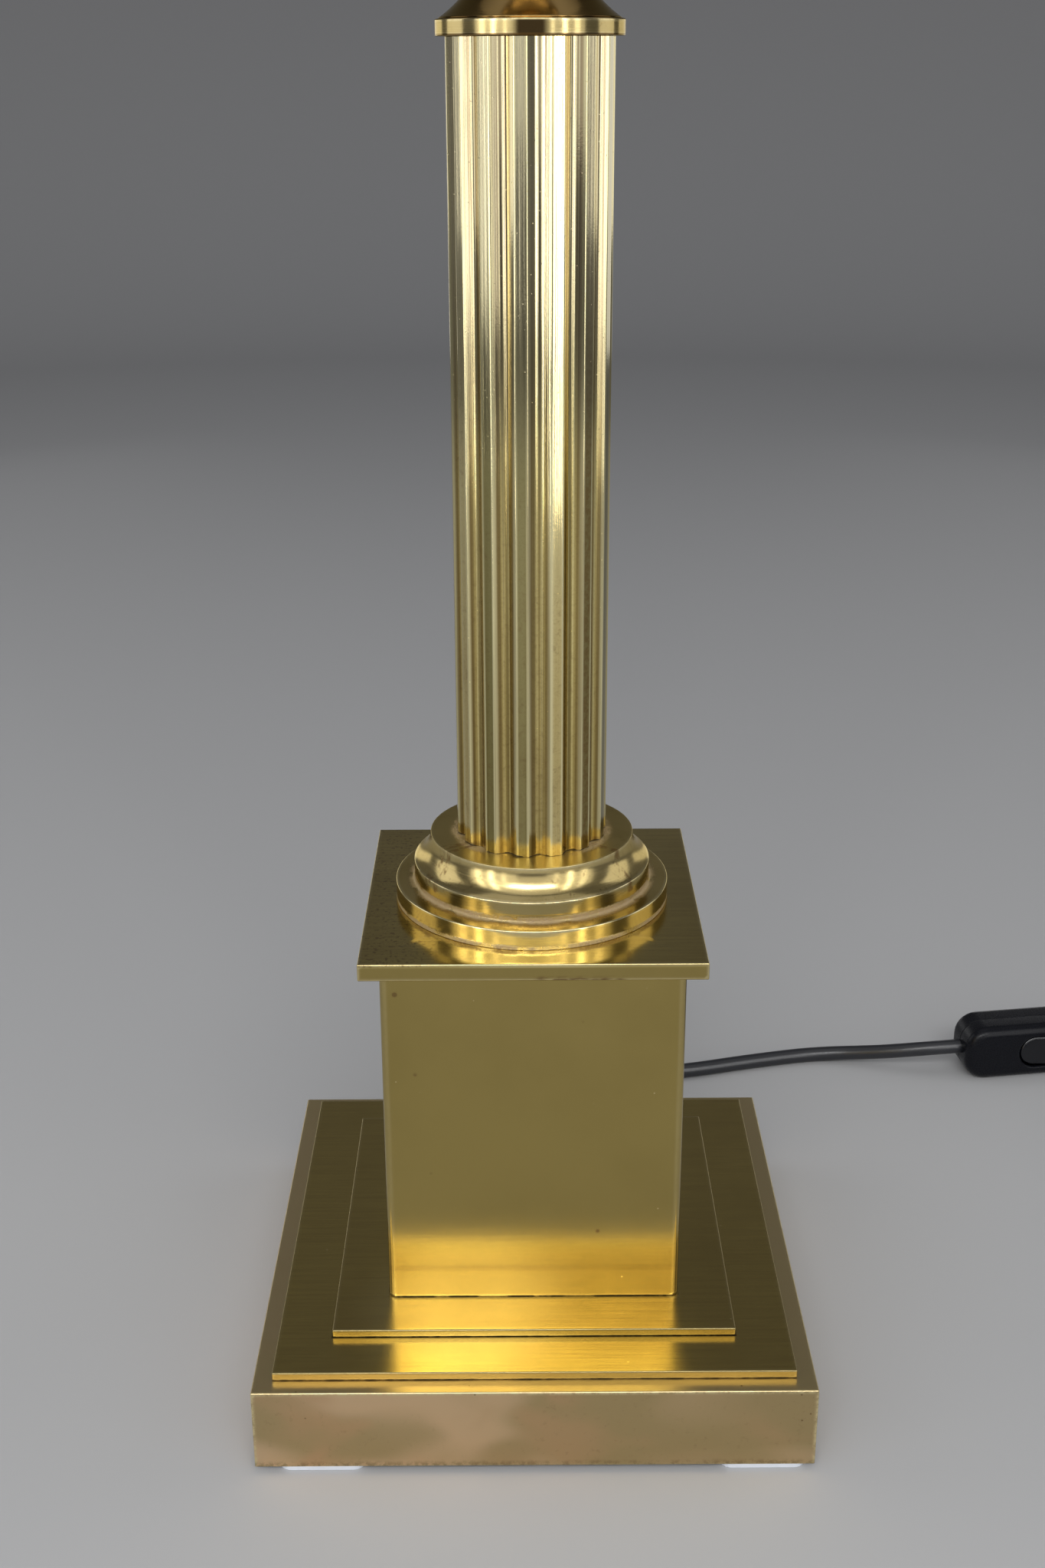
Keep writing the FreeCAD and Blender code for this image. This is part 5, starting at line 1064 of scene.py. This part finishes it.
def rocker_mesh():
    """The rocker: an oval key with a hollow face and rounded rim."""
    half_x, half_z, front, back, rim, hollow = 8.9, 7.2, -6.3, 1.2, 1.7, 22

    def face_ring(ring_x, ring_z, behind=0):
        """A ring that follows the hollow face."""
        rise = front + behind - math.sqrt(hollow ** 2 - half_x ** 2)
        return [(x, rise + math.sqrt(hollow ** 2 - x * x), z, 0)
                for x, _, z, _ in oval_ring(ring_x, ring_z, count=64)]

    rows = [oval_ring(half_x, half_z, depth, count=64) for depth in (back, front + 3.5)]
    for cos, sin in quarter(8):
        inset = rim * (1 - cos)
        rows.append(face_ring(half_x - inset, half_z - inset, rim * (1 - sin)))
    for scale in (0.72, 0.6, 0.45, 0.28, 0.12):
        rows.append(face_ring(half_x * scale, half_z * scale))
    pivot = SWITCH_CENTRE + SWITCH_TURN @ Vector((0, -5.5, 0))
    turn = Matrix.Rotation(math.radians(SWITCH_ANGLE + ROCKER_ANGLE), 4, "Z")
    return grid_mesh(placed(rows, turn, pivot), closed_rows=False, caps=True)


piece("switch_front", switch_front(), switch_black, "switch_front_shell")
piece("switch_back", switch_rear(), switch_black, "switch_rear_shell")
piece("rocker_key", rocker_mesh(), rocker_black, "rocker", body="rocker")


# Plug, strain reliefs and tie; the plug's x runs from its cord to its pins

PLUG_TURN = Matrix.Rotation(math.radians(187), 4, "Z")
PLUG_CENTRE = Vector((248.9, 57.12, 6.85))
PLUG_LONG = 34
BOOT_TURN = Matrix.Rotation(math.radians(90), 4, "Z")
BOOT_CENTRE = Vector((0, PLINTH_HALF, 10.1))


def plug_section(place, half_y, corner=2.6, half_z=6.85, worn=0.0):
    """A rounded rectangle across the plug at x."""
    return [(place, y, z, worn) for y, z in rounded_ring(half_y, half_z, corner, 8)]


def plug_mesh():
    """The flat moulded plug: straight by the pins, drawn in to the cord, with finger grips."""
    half, half_end, straight, shoulder = 17.5, 6.5, -10.2, -1.8
    rows = [plug_section(0, half - 0.9, 1.6, 6.0), plug_section(-0.25, half - 0.4, 1.9, 6.5),
            plug_section(-0.8, half - 0.05, 2.2, 6.8, 1.0), plug_section(shoulder, half)]
    for step in range(1, 41):
        place = shoulder - (PLUG_LONG + shoulder - 0.8) * step / 40
        drawn_in = max(0, straight - place) / (PLUG_LONG + straight)
        grip = 0.0
        if -27 < place < -12:
            grip = 0.35 * (0.5 + 0.5 * math.cos(2 * math.pi * (place + 12) / 2.5))
        rows.append(plug_section(place, half + (half_end - half) * drawn_in - grip, 2.2,
                                 6.85 - grip * 0.3))
    rows += [plug_section(0.3 - PLUG_LONG, 6.3, 2.4, 6.5, 1.0),
             plug_section(-PLUG_LONG, 5.9, 2.6, 6.1)]
    return grid_mesh(placed(rows, PLUG_TURN, PLUG_CENTRE), closed_rows=False, caps=True)


def ribbed_boot(start, end, turn, centre, flange=0, flange_radius=0):
    """A tapered strain relief along x with rings cut into it, and a flange at its wide end."""
    wide, narrow, bore, least, steps = 5.4, 3.9, 3.2, 3.55, 60
    way = math.copysign(1, end - start)
    line = [(start, bore, 0)]
    if flange:
        line += [(start, flange_radius - 0.4, 0), (start + 0.3 * way, flange_radius, 1),
                 (start + (flange - 0.3) * way, flange_radius, 1),
                 (start + flange * way, flange_radius - 0.4, 0), (start + flange * way, wide, 0)]
    first = start + flange * way
    for step in range(steps + 1):
        part = step / steps
        groove = 0.0
        if 0.12 < part < 0.9:
            groove = max(0.0, math.sin((part - 0.12) / 0.78 * math.pi * 7) ** 2 - 0.25)
        line.append((first + (end - first) * part,
                     max(wide + (narrow - wide) * part - groove, least),
                     0.6 if 0 < groove < 0.2 else 0))
    line.append((end, bore, 0))
    rows = [[(place, y, z, edge) for y, z, _, _ in circle(radius, 0, count=48)]
            for place, radius, edge in line]
    return grid_mesh(placed(rows, turn, centre))


def tie_mesh():
    """A strap round the coil's section, with rounded corners."""
    half_x, half_y, half_z, corner, thick, broken = 3.5, 10.55, 6.7, 2.2, 0.68, 0.15
    centre = Vector((COIL_CENTRE[0], COIL_CENTRE[1] - COIL_RADIUS, half_z))
    rows = [[(x, y, z, worn)
             for y, z in rounded_ring(half_y - inset, half_z - inset, corner - inset, 5)]
            for x, inset, worn in ((-half_x, broken, 1), (0.3 - half_x, 0, 0),
                                   (half_x - 0.3, 0, 0), (half_x, broken, 1),
                                   (half_x, thick, 0), (-half_x, thick, 0))]
    return grid_mesh(placed(rows, Matrix.Identity(4), centre))


piece("plug", plug_mesh(), plug_black, "plug_body")
piece("plug_relief", ribbed_boot(-PLUG_LONG, -PLUG_LONG - 20, PLUG_TURN, PLUG_CENTRE),
      boot_black, "plug_boot")
piece("base_relief", ribbed_boot(0, 24, BOOT_TURN, BOOT_CENTRE, 1.6, 7.0),
      boot_black, "cord_boot")
piece("coil_strap", tie_mesh(), tie_black, "coil_tie")


# CAD nodes that stay as they are

for material, nodes in (
        (plated_steel, ["rod_washer", "cover_screws", "clamp_screws", "block_screw",
                        "socket_terminal_screws", "switch_terminal_screws", "switch_screws",
                        "rocker_pin", "lower_locator", "upper_locator", "bottom_cover"]),
        (fitting_brass, ["threaded_rod", "rod_nut", "lock_nut", "centre_contact",
                         "sleeve_rivet", "socket_terminals", "switch_terminals",
                         "contact_slider"]),
        (pin_metal, ["plug_pins"]),
        (weight_iron, ["base_weight"]),
        (porcelain, ["socket_insulator"]),
        (terminal_plastic, ["terminal_block", "cord_clamp"]),
        (wire_cover, ["lamp_wires", "supply_cores"]),
        (cord_black, ["entry_cord", "plug_cord_end"])):
    for node in nodes:
        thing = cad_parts[node]
        for material_slot in thing.material_slots:
            material_slot.material = material
        if not thing.material_slots:
            thing.data.materials.append(material)


# Floor and world

WORLD_COLOUR = (0.13, 0.13, 0.1339, 1)


def stage_mesh():
    """A round floor that rises into a low wall all round."""
    flat, bend, top = 2300, 900, 1600
    line = [(0.1, 0), (600, 0), (1500, 0), (flat, 0)]
    line += [(flat + bend * sin, bend * (1 - cos)) for cos, sin in quarter(14)[1:]]
    line.append((flat + bend, top))
    return grid_mesh([circle(radius, height, count=96) for radius, height in line],
                     closed_rows=False)


def floor_paint():
    """Pale grey floor that fades into the world's grey up the wall."""
    paint = Paint("floor")
    paint.set(Base_Color=(0.56, 0.565, 0.575), Roughness=0.85, Specular_IOR_Level=0.2)
    glow = paint.node("Emission", {"Color": WORLD_COLOUR})
    blend = paint.node("MixShader", {0: paint.z.step(0.0, 0.75),
                                     1: paint.shader.outputs[0], 2: glow.outputs[0]})
    paint.put(paint.output.inputs["Surface"], blend.outputs[0])
    return paint.material


link("floor", stage_mesh(), floor_paint())

world = bpy.data.worlds.new("world")
world.use_nodes = True
background = world.node_tree.nodes["Background"]
background.inputs["Color"].default_value = WORLD_COLOUR
background.inputs["Strength"].default_value = 1.0
bpy.context.scene.world = world


# Light; places in metres

def softbox(name, place, target, width, height, radiance, floor=True):
    """An area light of a given brightness that looks at a point, on the floor too or not."""
    data = bpy.data.lights.new(name, "AREA")
    data.shape = "RECTANGLE"
    data.size, data.size_y = width, height
    data.energy = radiance * math.pi * width * height
    lamp = bpy.data.objects.new(name, data)
    bpy.context.scene.collection.objects.link(lamp)
    way = Vector(target) - Vector(place)
    lamp.matrix_world = (Matrix.Translation(place)
                         @ way.to_track_quat("-Z", "Y").to_matrix().to_4x4())
    lamp.visible_camera = False
    lamp.visible_diffuse = floor


def around(azimuth, distance, height):
    """A place at an azimuth to the right of the front, seen from the lamp."""
    angle = math.radians(azimuth)
    return (distance * math.sin(angle), -distance * math.cos(angle), height)


# Upright strips on each side: azimuth, distance, width, radiance
for number, (azimuth, distance, wide, radiance) in enumerate((
        (-44.4, 1.00, 0.085, 4.6), (-30, 1.15, 0.08, 1.5), (-59, 1.15, 0.15, 2.2),
        (41.0, 1.00, 0.09, 4.3), (26, 1.15, 0.08, 1.5), (57, 1.15, 0.15, 1.5))):
    softbox(f"strip {number}", around(azimuth, distance, 0.68), (0, 0, 0.60), wide, 1.24,
            radiance, floor=False)
softbox("left", around(-42, 1.50, 0.74), (0, 0, 0.50), 1.55, 1.22, 0.94)
softbox("right", around(41, 1.50, 0.74), (0, 0, 0.50), 1.55, 1.22, 0.72)
softbox("left side", around(-103, 1.60, 0.80), (0, 0, 0.30), 0.9, 1.2, 1.0)
softbox("right side", around(104, 1.60, 0.80), (0, 0, 0.30), 0.9, 1.2, 0.9)
softbox("left back", around(-149, 1.7, 0.30), (0, 0, 0.30), 1.05, 0.42, 0.9, floor=False)
softbox("right back", around(149, 1.7, 0.30), (0, 0, 0.30), 1.05, 0.42, 0.7, floor=False)
softbox("fill", around(0, 1.7, 0.85), (0, 0, 0.30), 0.9, 1.1, 0.6)
softbox("front", around(0, 1.35, 1.24), (0, 0, 0.04), 1.3, 0.36, 6.2)
softbox("front left", around(-6, 1.33, 1.24), (0, 0, 0.04), 0.10, 0.34, 7.0)
softbox("canopy", around(0, 1.1, 1.55), (0, 0, 0.15), 2.4, 0.8, 0.6)
softbox("top", (0.0, 0.15, 1.9), (0, 0.1, 0), 1.8, 1.5, 0.35)

bpy.context.scene.view_settings.view_transform = "Standard"
